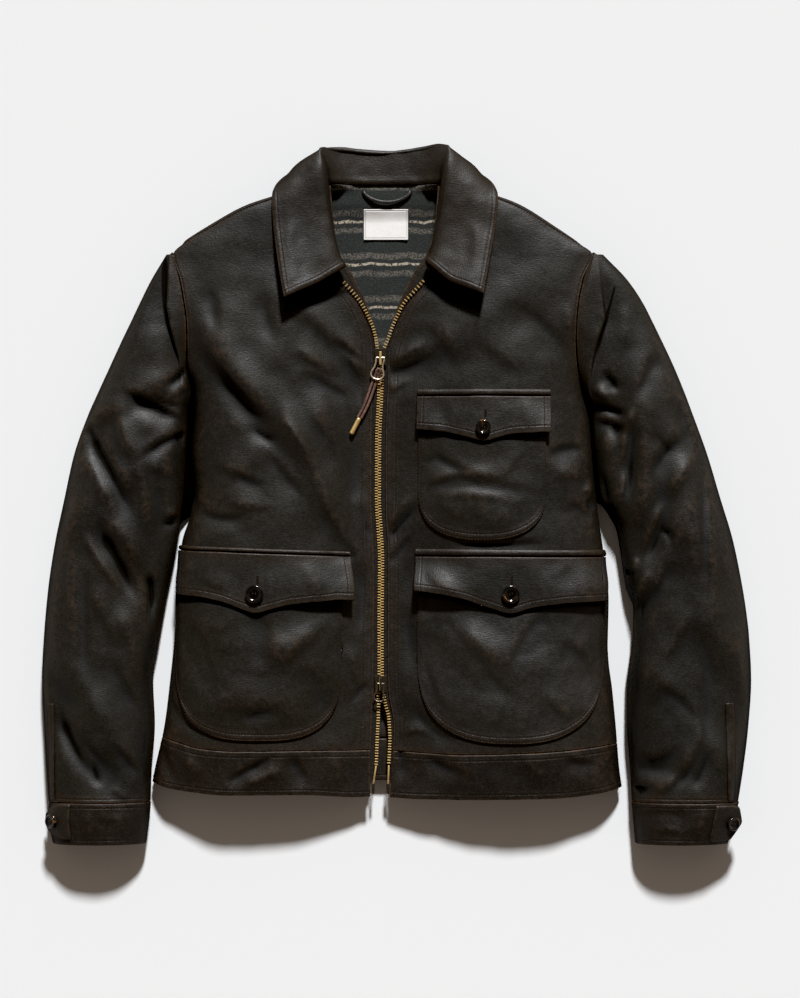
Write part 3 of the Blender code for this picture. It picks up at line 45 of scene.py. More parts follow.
def inMetres(points):
    return (np.asarray(points, float) - np.array(draft["middle"])) * draft["mm"]


# camera, light and floor
studio = {"target": (0.0036, -0.0050, 0.020), "distance": 3.2, "frameWidth": 0.848,
          "sunFrom": (0.20, 1.56, 1.0), "sunPower": 5.1, "sunWidth": 6.5,
          "sunColour": (0.972, 1.0, 1.025), "fillLow": 0.325, "fillHigh": 0.022,
          "fillColour": (1.24, 1.0, 0.82),
          "floorSize": 8.0, "floorWhite": 0.88, "floorDrop": 0.0004, "black": 0.0027}


def linked(name, data):
    thing = bpy.data.objects.new(name, data)
    bpy.context.scene.collection.objects.link(thing)
    return thing


def makeStudio():
    scene = bpy.context.scene
    scene.view_settings.view_transform = "Standard"
    scene.view_settings.use_curve_mapping = True
    scene.view_settings.curve_mapping.black_level = (studio["black"],) * 3
    scene.view_settings.curve_mapping.update()
    cameraData = bpy.data.cameras.new("camera")
    cameraData.sensor_fit = "HORIZONTAL"
    cameraData.lens = cameraData.sensor_width * studio["distance"] / studio["frameWidth"]
    camera = linked("camera", cameraData)
    camera.location = Vector(studio["target"]) + Vector((0, 0, studio["distance"]))
    scene.camera = camera
    sunData = bpy.data.lights.new("sun", "SUN")
    sunData.energy = studio["sunPower"]
    sunData.color = studio["sunColour"]
    sunData.angle = math.radians(studio["sunWidth"])
    sun = linked("sun", sunData)
    sun.rotation_euler = Vector(studio["sunFrom"]).to_track_quat("Z", "Y").to_euler()
    world = bpy.data.worlds.new("room")
    world.use_nodes = True
    # the room is brighter low down than overhead
    tree = world.node_tree
    where = tree.nodes.new("ShaderNodeTexCoord")
    split = tree.nodes.new("ShaderNodeSeparateXYZ")
    fall = tree.nodes.new("ShaderNodeMapRange")
    fall.inputs["To Min"].default_value = studio["fillLow"]
    fall.inputs["To Max"].default_value = studio["fillHigh"]
    tree.nodes["Background"].inputs["Color"].default_value = (*studio["fillColour"], 1)
    tree.links.new(where.outputs["Generated"], split.inputs[0])
    tree.links.new(split.outputs["Z"], fall.inputs["Value"])
    tree.links.new(fall.outputs[0], tree.nodes["Background"].inputs["Strength"])
    scene.world = world
    bpy.ops.mesh.primitive_plane_add(size=studio["floorSize"], location=(0, 0, -studio["floorDrop"]))
    floor = bpy.context.object
    floor.name = "floor"
    finish = Finish("floor_white", roughness=0.9)
    finish.colour((studio["floorWhite"],) * 3)
    floor.data.materials.append(finish.material)
    bpy.ops.object.select_all(action="DESELECT")


class Drafted:
    # A table read by a smooth curve that never overshoots its rows.  What a row leaves out at its
    # end is as in the row before.
    def __init__(self, columns, rows):
        full = [rows[0]]
        for row in rows[1:]:
            full.append(row + full[-1][len(row):])
        self.key, *values = np.array(full, float).T
        self.columns = dict(zip(columns, values))

    def read(self, name, at):
        xs, ys = self.key, self.columns[name]
        at = np.clip(at, xs[0], xs[-1])
        slope = np.diff(ys) / np.diff(xs)
        same = slope[:-1] * slope[1:] > 0
        total = np.where(same, slope[:-1] + slope[1:], 1.0)
        inner = np.where(same, 2 * slope[:-1] * slope[1:] / total, 0.0)
        ends = np.concatenate((slope[:1], inner, slope[-1:]))
        i = np.clip(np.searchsorted(xs, at, side="right") - 1, 0, len(xs) - 2)
        h = xs[i + 1] - xs[i]
        t = (at - xs[i]) / h
        return (ys[i] * (1 + 2 * t) * (1 - t) ** 2 + ys[i + 1] * t * t * (3 - 2 * t)
                + h * ends[i] * t * (1 - t) ** 2 - h * ends[i + 1] * t * t * (1 - t))


def ease(t):
    t = np.clip(t, 0.0, 1.0)
    return t * t * (3 - 2 * t)


def lerp(a, b, t):
    return a + (b - a) * t


def between(first, last, parts):
    # a row of places from one edge to the other, at each height
    return lerp(first[:, None], last[:, None], parts[None, :])


def unit(vectors):
    return vectors / np.maximum(np.linalg.norm(vectors, axis=-1, keepdims=True), 1e-9)


def evenly(points, count):
    step = np.linalg.norm(np.diff(points, axis=0), axis=1)
    along = np.concatenate(([0], np.cumsum(step)))
    goal = np.linspace(0, along[-1], count)
    return np.stack([np.interp(goal, along, points[:, k]) for k in range(points.shape[1])], axis=1)


def curved(points, steps):
    # a smooth curve through points (first axis), with that many steps from each to the next
    p = np.asarray(points, float)
    p = np.concatenate((2 * p[:1] - p[1:2], p, 2 * p[-1:] - p[-2:-1]))
    t = (np.arange(steps) / steps).reshape((-1,) + (1,) * (p.ndim - 1))
    parts = [0.5 * (2 * b + (c - a) * t + (2 * a - 5 * b + 4 * c - d) * t ** 2
                    + (3 * b - a - 3 * c + d) * t ** 3)
             for a, b, c, d in zip(p, p[1:], p[2:], p[3:])]
    return np.concatenate(parts + [p[-2:-1]])


def refined(grid, down, across):
    # a coarse grid of points read finer both ways
    return np.swapaxes(curved(np.swapaxes(curved(grid, down), 0, 1), across), 0, 1)


def rough(x, y, size, seed):
    # smooth lumps of about that size, from -1 to 1
    x, y = np.asarray(x) / size, np.asarray(y) / size
    i, j = np.floor(x), np.floor(y)
    u, v = ease(x - i), ease(y - j)

    def knot(a, b):
        n = np.sin(a * 127.1 + b * 311.7 + seed * 74.7) * 43758.5453
        return 2 * (n - np.floor(n)) - 1
    return lerp(lerp(knot(i, j), knot(i + 1, j), u), lerp(knot(i, j + 1), knot(i + 1, j + 1), u), v)


def creased(x, y, rows):
    # A row is one crease on a bow through three places, then its half width, its height (a trough
    # is below 0), 1 where it starts at a seam, and how much steeper one side of it is.
    x, y = np.broadcast_arrays(np.asarray(x, float), np.asarray(y, float))
    total = np.zeros(x.shape)
    for x0, y0, x1, y1, x2, y2, width, height, *rest in rows:
        # gravity draws it steeper below than above, the more the flatter it lies
        flat = min(1, 1.6 * abs(x2 - x0) / math.hypot(x2 - x0, y2 - y0))
        lean = round((-0.5 if height < 0 else 0.45) * math.copysign(flat, x2 - x0), 2)
        start, lean = (*rest, *(0, lean)[len(rest):])
        reach = 3.2 * width
        near = ((x > min(x0, x1, x2) - reach) & (x < max(x0, x1, x2) + reach)
                & (y > min(y0, y1, y2) - reach) & (y < max(y0, y1, y2) + reach))
        if not near.any():
            continue
        t = np.linspace(0, 1, 13)
        bowX, bowY = 2 * x1 - (x0 + x2) / 2, 2 * y1 - (y0 + y2) / 2
        lineX = (1 - t) ** 2 * x0 + 2 * t * (1 - t) * bowX + t * t * x2
        lineY = (1 - t) ** 2 * y0 + 2 * t * (1 - t) * bowY + t * t * y2
        px, py = x[near], y[near]
        best = np.full(px.shape, 1e9)
        side, along = np.zeros(px.shape), np.zeros(px.shape)
        for k in range(12):
            dx, dy = lineX[k + 1] - lineX[k], lineY[k + 1] - lineY[k]
            part = np.clip(((px - lineX[k]) * dx + (py - lineY[k]) * dy) / (dx * dx + dy * dy), 0, 1)
            gapX, gapY = px - lineX[k] - dx * part, py - lineY[k] - dy * part
            gap = gapX ** 2 + gapY ** 2
            closer = gap < best
            best = np.where(closer, gap, best)
            side = np.where(closer, dx * gapY - dy * gapX, side)
            along = np.where(closer, (k + part) / 12, along)
        turned = np.tanh(side / (np.sqrt((x2 - x0) ** 2 + (y2 - y0) ** 2) / 12 * width * 0.5))
        gap = np.sqrt(best) / (width * (1 + lean * turned))
        fade = ease((1 - along) / 0.45) * (1 if start else ease(along / 0.35))
        total[near] += height * fade * np.exp(-gap ** 1.8)
    return total


class Wire:
    # a node's socket that can stand in a sum
    def __init__(self, finish, socket):
        self.finish, self.socket = finish, socket

    def sum(self, how, first, second=0.0):
        return self.finish.add("ShaderNodeMath", {"operation": how}, {0: first, 1: second})

    def least(self, other):
        return self.sum("MINIMUM", self, other)

    def most(self, other):
        return self.sum("MAXIMUM", self, other)

    def size(self):
        return self.sum("ABSOLUTE", self)

    def within(self, pitch):
        return self.sum("FLOORED_MODULO", self, pitch)

    def __add__(self, other):
        return self.sum("ADD", self, other)

    def __radd__(self, other):
        return self.sum("ADD", other, self)

    def __sub__(self, other):
        return self.sum("SUBTRACT", self, other)

    def __rsub__(self, other):
        return self.sum("SUBTRACT", other, self)

    def __mul__(self, other):
        return self.sum("MULTIPLY", self, other)

    def __rmul__(self, other):
        return self.sum("MULTIPLY", other, self)

    def __truediv__(self, other):
        return self.sum("DIVIDE", self, other)


class Finish:
    # one material and the nodes that build it up
    def __init__(self, name, roughness=0.5, metallic=0.0, sheen=0.0, specular=0.5):
        self.material = bpy.data.materials.new(name)
        self.material.use_nodes = True
        self.tree = self.material.node_tree
        self.shader = self.tree.nodes["Principled BSDF"]
        for socket, value in (("Roughness", roughness), ("Metallic", metallic),
                              ("Sheen Weight", sheen), ("Specular IOR Level", specular)):
            self.shader.inputs[socket].default_value = value

    def add(self, kind, settings=None, sockets=None, out=0):
        node = self.tree.nodes.new(kind)
        for key, value in (settings or {}).items():
            setattr(node, key, value)
        for key, value in (sockets or {}).items():
            if isinstance(value, Wire):
                self.tree.links.new(value.socket, node.inputs[key])
            else:
                node.inputs[key].default_value = value
        return Wire(self, node.outputs[out])

    def place(self, scale=(1, 1, 1)):
        where = self.add("ShaderNodeTexCoord", out="Object")
        return self.add("ShaderNodeMapping", None, {"Vector": where, "Scale": scale})

    def noise(self, scale, detail=2.0, rough=0.5, distortion=0.0, at=None):
        return self.add("ShaderNodeTexNoise", None,
                        {"Vector": at or self.place(), "Scale": scale, "Detail": detail,
                         "Roughness": rough, "Distortion": distortion})

    def fade(self, value, low, high, first=0.0, last=1.0):
        return self.add("ShaderNodeMapRange", {"interpolation_type": "SMOOTHSTEP"},
                        {0: value, 1: low, 2: high, 3: first, 4: last})

    def mixed(self, factor, first, second):
        full = [c if isinstance(c, Wire) else (*c, 1.0) for c in (first, second)]
        return self.add("ShaderNodeMix", {"data_type": "RGBA"}, {0: factor, 6: full[0], 7: full[1]},
                        out=2)

    def edges(self):
        # how far a place is from each edge of its piece, and from the nearest one
        rims = self.add("ShaderNodeAttribute", {"attribute_name": "rims"}, out="Color")
        first = self.add("ShaderNodeSeparateColor", None, {0: rims})
        last, top = (Wire(self, first.socket.node.outputs[k]) for k in (1, 2))
        bottom = Wire(self, rims.socket.node.outputs["Alpha"])
        sides = {"first": first, "last": last, "top": top, "bottom": bottom}
        return sides, first.least(last).least(top.least(bottom))

    def feed(self, socket, value):
        self.tree.links.new(value.socket, self.shader.inputs[socket])

    def colour(self, value):
        if isinstance(value, Wire):
            self.feed("Base Color", value)
        else:
            self.shader.inputs["Base Color"].default_value = (*value, 1)

    def bump(self, height):
        # heights are in millimetres
        self.feed("Normal", self.add("ShaderNodeBump", None, {
            "Strength": 1.0, "Distance": draft["mm"], "Height": height}))


# Colours are linear.  Grooves are the stitched lines, by their distance from a piece's four edges.  The
# near-black colour darkens the grain at random and is also painted shade in hollows and shadows.
waxed = {"panel": (0.0099, 0.0074, 0.0038), "brown": (0.0185, 0.0100, 0.0038),
         "worn": (0.056, 0.030, 0.0140), "bloom": (0.024, 0.022, 0.0145),
         "darkSpeckAndShade": (0.0016, 0.0012, 0.0008), "rough": 0.50, "grain": 0.52, "pucker": 0.24,
         "gloss": 0.395}


def waxedCotton(name, first=(), last=(), top=(), bottom=(), rub=1.0, brown=0.0, shade=1.0,
                shine=1.0):
    finish = Finish(name, roughness=waxed["rough"], specular=waxed["gloss"] * shine)
    sides, rim = finish.edges()
    crestAndShade = finish.add("ShaderNodeAttribute", {"attribute_name": "crestAndShade"}, out="Fac")
    blotch = finish.noise(17, 3, 0.6, 0.5)
    mottle = finish.noise(150, 5, 0.66)
    grain = (finish.noise(950, 2, 0.6, at=finish.place((1.0, 0.25, 1.0))) * 0.5
             + finish.noise(950, 2, 0.6, at=finish.place((0.25, 1.0, 1.0))) * 0.5)
    # browner towards the seams, where the wax has been handled away
    near = finish.fade(rim + (mottle - 0.5) * 16, 17, 0) * 0.75
    panel, dark = ([c * shade for c in waxed[k]] for k in ("panel", "brown"))
    tone = finish.mixed(near.most(finish.fade(blotch, 0.52, 0.78) * 0.35 + brown), panel, dark)
    tone = finish.mixed(finish.fade(grain, 0.50, 0.38) * 0.65, tone, waxed["darkSpeckAndShade"])
    tone = finish.mixed(finish.fade(finish.noise(9, 2, 0.5), 0.46, 0.66) * 0.35, tone,
                        waxed["darkSpeckAndShade"])
    tone = finish.mixed(finish.fade(grain, 0.53, 0.66) * 0.55, tone, waxed["bloom"])
    # bare, browned cotton along the edges, the sewing and the tops of creases
    rubbed = finish.fade(rim, 2.4, 0.3) * finish.fade(mottle, 0.34, 0.60) * (0.80 * rub)
    groove, lines = 0.0, 0.0
    for side, places in (("first", first), ("last", last), ("top", top), ("bottom", bottom)):
        for at in places:
            beside = (sides[side] - at).size()
            groove = groove + finish.fade(beside, 1.5, 0.0)
            lines = lines + finish.fade(beside, 5.0, 0.6)
    ridge = finish.fade(crestAndShade, 0.18, 1.1) * finish.fade(mottle, 0.40, 0.66)
    rubbed = rubbed.most(ridge * 0.32)
    if first or last or top or bottom:
        pucker = finish.noise(330, 2, 0.5)
        rubbed = rubbed.most(lines * finish.fade(pucker, 0.48, 0.72) * 0.20)
    tone = finish.mixed(rubbed, tone, waxed["worn"])
    # painted shade: darker, towards near-black, in the hollows of creases and where the crest attribute
    # is lowered for a painted shadow
    paintedHollowShade = finish.fade(crestAndShade, -0.10, -1.2)
    tone = finish.mixed(paintedHollowShade * 0.7, tone, waxed["darkSpeckAndShade"])
    finish.colour(tone)
    # matter where the cloth turns away, so that no edge glares
    turned = finish.add("ShaderNodeLayerWeight", {}, {"Blend": 0.5}, out="Facing")
    gloss = finish.fade(mottle, 0.3, 0.75, waxed["rough"] - 0.05, waxed["rough"] + 0.08)
    finish.feed("Roughness", gloss + finish.fade(turned, 0.35, 0.85) * 0.30 + paintedHollowShade * 0.15)
    height = grain * waxed["grain"] + mottle * 0.12
    if first or last or top or bottom:
        height = height - groove * 0.28 + lines * pucker * waxed["pucker"]
    finish.bump(height)
    # painted shadow: no gloss on cloth where the crest attribute is lowered for a painted shadow or
    # shade, and little where it turns away
    flat = finish.add("ShaderNodeBsdfDiffuse", None, {"Color": tone})
    matter = (finish.fade(crestAndShade, -1.1, -2.5) * 0.85).most(finish.fade(turned, 0.16, 0.62) * 0.72)
    shaded = finish.add("ShaderNodeMixShader", None, {0: matter})
    both = shaded.socket.node.inputs
    finish.tree.links.new(finish.shader.outputs[0], both[1])
    finish.tree.links.new(flat.socket, both[2])
    finish.tree.links.new(shaded.socket, finish.tree.nodes["Material Output"].inputs["Surface"])
    return finish.material


wool = {"ground": (0.0180, 0.0205, 0.0190), "fleck": (0.050, 0.052, 0.046),
        "melange": (0.150, 0.130, 0.108), "cream": (0.50, 0.43, 0.33), "top": 0.3040,
        "pitch": 0.0457, "band": 0.0068, "bandAt": 0.001, "line": 0.0026, "lineAt": 0.0124,
        "lowBand": 0.00578, "lowBandAt": 0.0205}


def stripedWool():
    # a dark brushed wool with woven stripes that run across: band, wavy cream line, band
    finish = Finish("striped_wool", roughness=0.95, sheen=0.25, specular=0.2)
    where = finish.place()
    height = finish.add("ShaderNodeSeparateXYZ", None, {0: where}, out=1)
    wander = finish.noise(55, 2) - 0.5
    down = (wool["top"] - height + wander * 0.007).within(wool["pitch"])
    hair = finish.noise(640, 4, 0.75)

    def stripe(at, width, soft):
        low = finish.fade(down, at - soft, at + soft)
        return low * finish.fade(down, at + width + soft, at + width - soft)
    bands = stripe(wool["bandAt"], wool["band"], 0.0011).most(
        stripe(wool["lowBandAt"], wool["lowBand"], 0.0011))
    line = stripe(wool["lineAt"], wool["line"], 0.0005)
    tone = finish.mixed(finish.fade(hair, 0.48, 0.68) * 0.9, wool["ground"], wool["fleck"])
    tone = finish.mixed(bands * finish.fade(hair, 0.40, 0.60), tone, wool["melange"])
    tone = finish.mixed(line * finish.fade(finish.noise(420, 2), 0.34, 0.52) * 0.9, tone,
                        wool["cream"])
    finish.colour(tone)
    finish.bump(hair * 0.5 + finish.noise(300, 3) * 0.5)
    return finish.material


def wovenTape(name, first, second, size, depth):
    finish = Finish(name, roughness=0.9, specular=0.18)
    where = finish.place()
    ribs = finish.add("ShaderNodeTexWave", {"bands_direction": "Y"},
                      {"Vector": where, "Scale": size / 6.28, "Distortion": 0.6, "Detail": 1.0})
    mottle = finish.noise(300, 3)
    finish.colour(finish.mixed(ribs * 0.5 + finish.fade(mottle, 0.35, 0.7) * 0.5, first, second))
    finish.bump(ribs * depth)
    return finish.material


def leather(name, dark, light, rough=0.42):
    finish = Finish(name, roughness=rough)
    pores = finish.add("ShaderNodeTexVoronoi", {"feature": "SMOOTH_F1"},
                       {"Vector": finish.place(), "Scale": 900.0})
    mottle = finish.noise(120, 4, 0.6)
    finish.colour(finish.mixed(finish.fade(mottle, 0.35, 0.7), dark, light))
    finish.bump(pores * 0.12 + mottle * 0.3)
    return finish.material


# each: bright and dull colours, roughness and how metallic
metals = {"brass_aged": ((0.90, 0.64, 0.27), (0.50, 0.31, 0.11), 0.40, 0.7),
          "metal_worn": ((0.74, 0.63, 0.47), (0.36, 0.28, 0.19), 0.32, 0.7),
          "bronze_dark": ((0.050, 0.036, 0.018), (0.016, 0.011, 0.006), 0.4, 0.6),
          "metal_dark": ((0.16, 0.125, 0.085), (0.05, 0.038, 0.025), 0.38, 0.8)}


def agedMetal(name, bright, dull, rough, metallic):
    finish = Finish(name, roughness=rough, metallic=metallic)
    mottle = finish.noise(500, 4, 0.65)
    finish.colour(finish.mixed(finish.fade(mottle, 0.42, 0.64), bright, dull))
    finish.feed("Roughness", finish.fade(mottle, 0.3, 0.7, rough - 0.08, rough + 0.2))
    finish.bump(finish.noise(900, 3) * 0.08)
    return finish.material


def polishedHorn(name, amber):
    finish = Finish(name, roughness=0.13, specular=0.5)
    cloud = finish.noise(110, 3, 0.55, 1.4)
    tone = finish.mixed(finish.fade(cloud, 0.50, 0.62), (0.0035, 0.003, 0.0028),
                        (0.014, 0.009, 0.006))
    finish.colour(finish.mixed(finish.fade(cloud, 0.64 - amber, 0.70 - amber) * 0.8, tone,
                               (0.22, 0.095, 0.022)))
    finish.bump(finish.noise(600, 3) * 0.03)
    return finish.material


# The draft: outlines and heights, from the hem up.  Left and right are as seen from above.
frontColumns = ("sideX", "edgeX", "sideZ", "edgeZ", "crownZ")
sleeveColumns = ("outerX", "innerX", "outerZ", "innerZ", "crownZ", "roll", "step")
leftFront = Drafted(frontColumns, (
    (-322, -262.0, -26.5, 8, 20, 39),
    (-289, -255.8, -26.3, 8, 20, 41),
    (-241, -245.2, -24.6, 9, 20, 42),
    (-204, -240.4, -22.8),
    (-135, -233.6, -22.3),
    (-82, -231.0, -21.8),
    (-47, -226.6, -22.9),
    (-20, -218.4, -24.4),
    (7, -213.8, -24.9),
    (44, -216.8, -24.9),
    (87, -214.1, -24.3),
    (110, -215.4, -23.5, 10),
    (140, -220.4, -23.3, 23, 20, 41.5),
    (154, -219.8, -23.9, 27, 20, 41),
    (168, -219.6, -25.4, 30, 21, 40.5),
    (187, -220.2, -31.0, 32, 23, 39.5),
    (206, -222.7, -40.8, 32, 25, 38),
    (231, -227.3, -62.0, 30, 27, 35.5),
    (257, -235.0, -67.2, 26, 27.5, 33),
    (272, -219.3, -69.1, 26.5, 28, 32.5),
    (286, -194.7, -70.7, 27, 28, 32),
    (304, -162.3, -72.2, 28, 28.5, 31.5),
    (316, -129.0, -73.4, 28.5, 28.5, 31),
    (331, -76.4, -75.0, 29, 29, 29)))
rightFront = Drafted(frontColumns, (
    (-322, 244.0, -5.8, 8, 20, 39),
    (-289, 238.9, -3.6, 8, 20, 41),
    (-241, 234.8, -1.6, 9, 20, 42),
    (-204, 231.2, -7.2),
    (-162, 226.4, -8.0),
    (-109, 227.4, -7.8),
    (-56, 221.6, -8.0),
    (-14, 215.7, -10.0),
    (44, 209.9, -10.3),
    (90, 206.0, -9.4),
    (110, 198.8, -8.3, 16),
    (140, 193.2, -7.5, 26, 20, 41.5),
    (154, 191.7, -6.9, 29, 20, 41),
    (168, 191.1, -2.1, 31, 21, 40.5),
    (187, 191.8, 4.8, 33, 23, 39.5),
    (206, 193.6, 14.8, 33, 25, 38),
    (231, 198.6, 36.6, 31, 27, 35.5),
    (257, 209.0, 42.5, 27, 27.5, 33),
    (272, 188.5, 45.4, 27.5, 28, 32.5),
    (286, 165.5, 47.6, 28, 28, 32),
    (304, 137.0, 49.4, 28.5, 28.5, 31.5),
    (316, 108.6, 50.9, 29, 28.5, 31),
    (331, 54.2, 52.8, 29, 29, 29)))
leftSleeve = Drafted(sleeveColumns, (
    (-322.5, -368.2, -259.6, 12, 10, 41, 6, 0),
    (-289, -370.5, -258.6, 12, 9, 40),
    (-241, -373.1, -255.2, 11, 9, 39),
    (-194, -375.3, -257.0, 11, 9, 38),
    (-146, -373.1, -249.6),
    (-98, -368.9, -241.2),
    (-50, -361.8, -231.8),
    (-3, -351.9, -225.2),
    (45, -341.3, -222.4),
    (87, -326.5, -219.8),
    (110, -316.3, -216.0, 11, 10),
    (140, -302.5, -221.0, 11, 23, 37, 6, 3),
    (168, -289.6, -220.2, 11, 30, 37, 13, 7),
    (187, -280.4, -220.8, 11, 32, 36, 17, 9),
    (206, -271.4, -223.3, 11, 32, 35, 18),
    (231, -258.9, -227.9, 11, 30, 33, 16, 7),
    (257, -243.0, -235.6, 13, 26, 28, 4, 0)))
rightSleeve = Drafted(sleeveColumns, (
    (-322.5, 364.6, 251.4, 12, 10, 41, 6, 0),
    (-289, 369.9, 249.8, 12, 9, 40),
    (-241, 375.8, 246.3, 11, 9, 39),
    (-194, 378.7, 246.9, 11, 9, 38),
    (-146, 376.3, 252.6),
    (-118, 373.0, 253.2),
    (-98, 369.9, 245.8),
    (-50, 360.4, 238.0),
    (-34, 356.2, 234.8),
    (-18, 351.3, 226.4),
    (-3, 346.6, 217.6),
    (45, 332.2, 210.9),
    (90, 315.9, 207.2),
    (110, 308.4, 199.4, 11, 16, 38, 6, 1),
    (140, 296.0, 193.8, 11, 26, 37, 13, 4),
    (168, 282.8, 191.7, 11, 31, 37, 22, 5),
    (187, 273.5, 192.4, 11, 33, 36, 28),
    (206, 263.8, 194.2, 11, 33, 35, 34, 4),
    (231, 247.0, 199.2, 11, 31, 33, 33, 2),
    (257, 221.6, 209.6, 13, 27, 28, 6, 0)))
leftCuff = Drafted(sleeveColumns, (
    (-367, -363.2, -264.5, 14, 12, 40, 6, 0),
    (-340, -368.7, -260.8, 13, 11, 42),
    (-322.8, -367.4, -259.4, 12, 10)))
rightCuff = Drafted(sleeveColumns, (
    (-367, 353.5, 255.0, 14, 12, 40, 6, 0),
    (-345, 359.5, 253.2, 13, 11, 42),
    (-322.8, 365.6, 251.2, 12, 10)))
hem = Drafted(("edge", "seam"), (
    (-257, -299.5, -251.5),
    (-232, -307.6, -259.0),
    (-205, -311.6, -265.4),
    (-168, -314.3, -267.7),
    (-95, -314.0, -267.2),
    (-37, -317.5, -267.7),
    (-24, -317.2, -267.7),
    (-4, -317.8, -268.2),
    (24, -319.2, -270.0),
    (69, -319.6, -271.8),
    (115, -319.0, -270.8),
    (170, -317.6, -268.1),
    (206, -314.0, -264.8),
    (241, -306.5, -260.0)))
zipLine = Drafted(("leftX", "rightX"), (
    (-305, -23.3, -7.4),
    (-284, -20.1, -6.6),
    (-255, -19.0, -5.4),
    (-233, -17.9, -6.6),
    (-218, -17.5, -10.4),
    (-205, -18.0, -12.3),
    (-194, -16.85, -13.55),
    (-130, -16.95, -13.65),
    (-66, -16.45, -13.15),
    (-34, -17.95, -14.65),
    (-3, -19.75, -16.45),
    (61, -19.45, -16.15),
    (119, -17.15, -13.85),
    (144, -17.05, -13.75),
    (154, -18.3, -12.6),
    (168, -20.3, -7.4),
    (179, -23.0, -3.4),
    (192, -28.5, 2.4),
    (206, -36.0, 9.6),
    (218, -45.4, 20.2),
    (230.5, -57.2, 31.4)))
facingEdge = Drafted(("leftX", "rightX"), (
    (168, -20.8, -4.6),
    (178, -22.6, -3.0),
    (196, -27.0, 0.8),
    (222, -38.0, 11.7),
    (242, -48.5, 22.3),
    (260, -60.0, 34.5),
    (286, -64.8, 41.4),
    (330, -68.0, 45.6)))
backTop = Drafted(("y", "turn", "depth"), (
    (-235.0, 257.0, 180, 1.5),
    (-219.3, 272.0, 180, 2.5),
    (-194.7, 286.0, 180, 4.0),
    (-162.3, 304.0, 180, 4.0),
    (-129.0, 316.0, 180, 3.5),
    (-76.4, 331.0, 180, 3.0),
    (-67.0, 330.4, 112, 3.0),
    (-58.0, 330.4, 76, 12.0),
    (-47.0, 330.4, 42, 12.0),
    (-30.0, 330.4, 16, 12.0),
    (-11.0, 330.4, 14, 12.0),
    (8.0, 330.4, 16, 12.0),
    (25.0, 330.4, 42, 12.0),
    (36.0, 330.4, 76, 12.0),
    (45.0, 330.4, 112, 3.0),
    (54.2, 331.0, 180, 3.0),
    (108.6, 316.0, 180, 3.5),
    (137.0, 304.0, 180, 4.0),
    (165.5, 286.0, 180, 4.0),
    (188.5, 272.0, 180, 2.5),
    (209.0, 257.0, 180, 1.5)))
# the large folds, which also shape the frame: from, to, width, height
largeFolds = (
    (-186, 160, -124, 78, 15, 3.0),
    (-196, 134, -128, 58, 12, -3.5),
    (-108, 79, -70, -10, 11, 3.5),
    (-62, 6, -36, -58, 11, 3.0),
    (-96, 196, -34, 146, 13, 3.0),
    (-88, 176, -40, 118, 12, -3.0),
    (0, 146, 44, 166, 12, 2.5),
    (4, 120, 60, 140, 13, -2.5),
    (70, 180, 150, 230, 20, 2.0),
    (-60, 110, -40, 20, 14, -2.5),
    (-330, 60, -246, 112, 16, -3.5),
    (-296, 96, -236, 128, 12, 3.0),
    (-345, -20, -250, 52, 16, 3.0),
    (-300, -120, -250, -40, 16, -3.0),
    (-352, -210, -300, -300, 14, -3.5),
    (-330, -200, -268, -290, 14, 3.0),
    (236, 100, 246, 20, 12, -3.5),
    (262, 120, 262, 10, 14, 3.0),
    (282, 0, 264, -52, 13, -3.5),
    (300, 40, 330, -100, 18, 3.0),
    (276, -190, 340, -270, 15, 3.0),
    (256, -286, 300, -292, 11, -3.5))
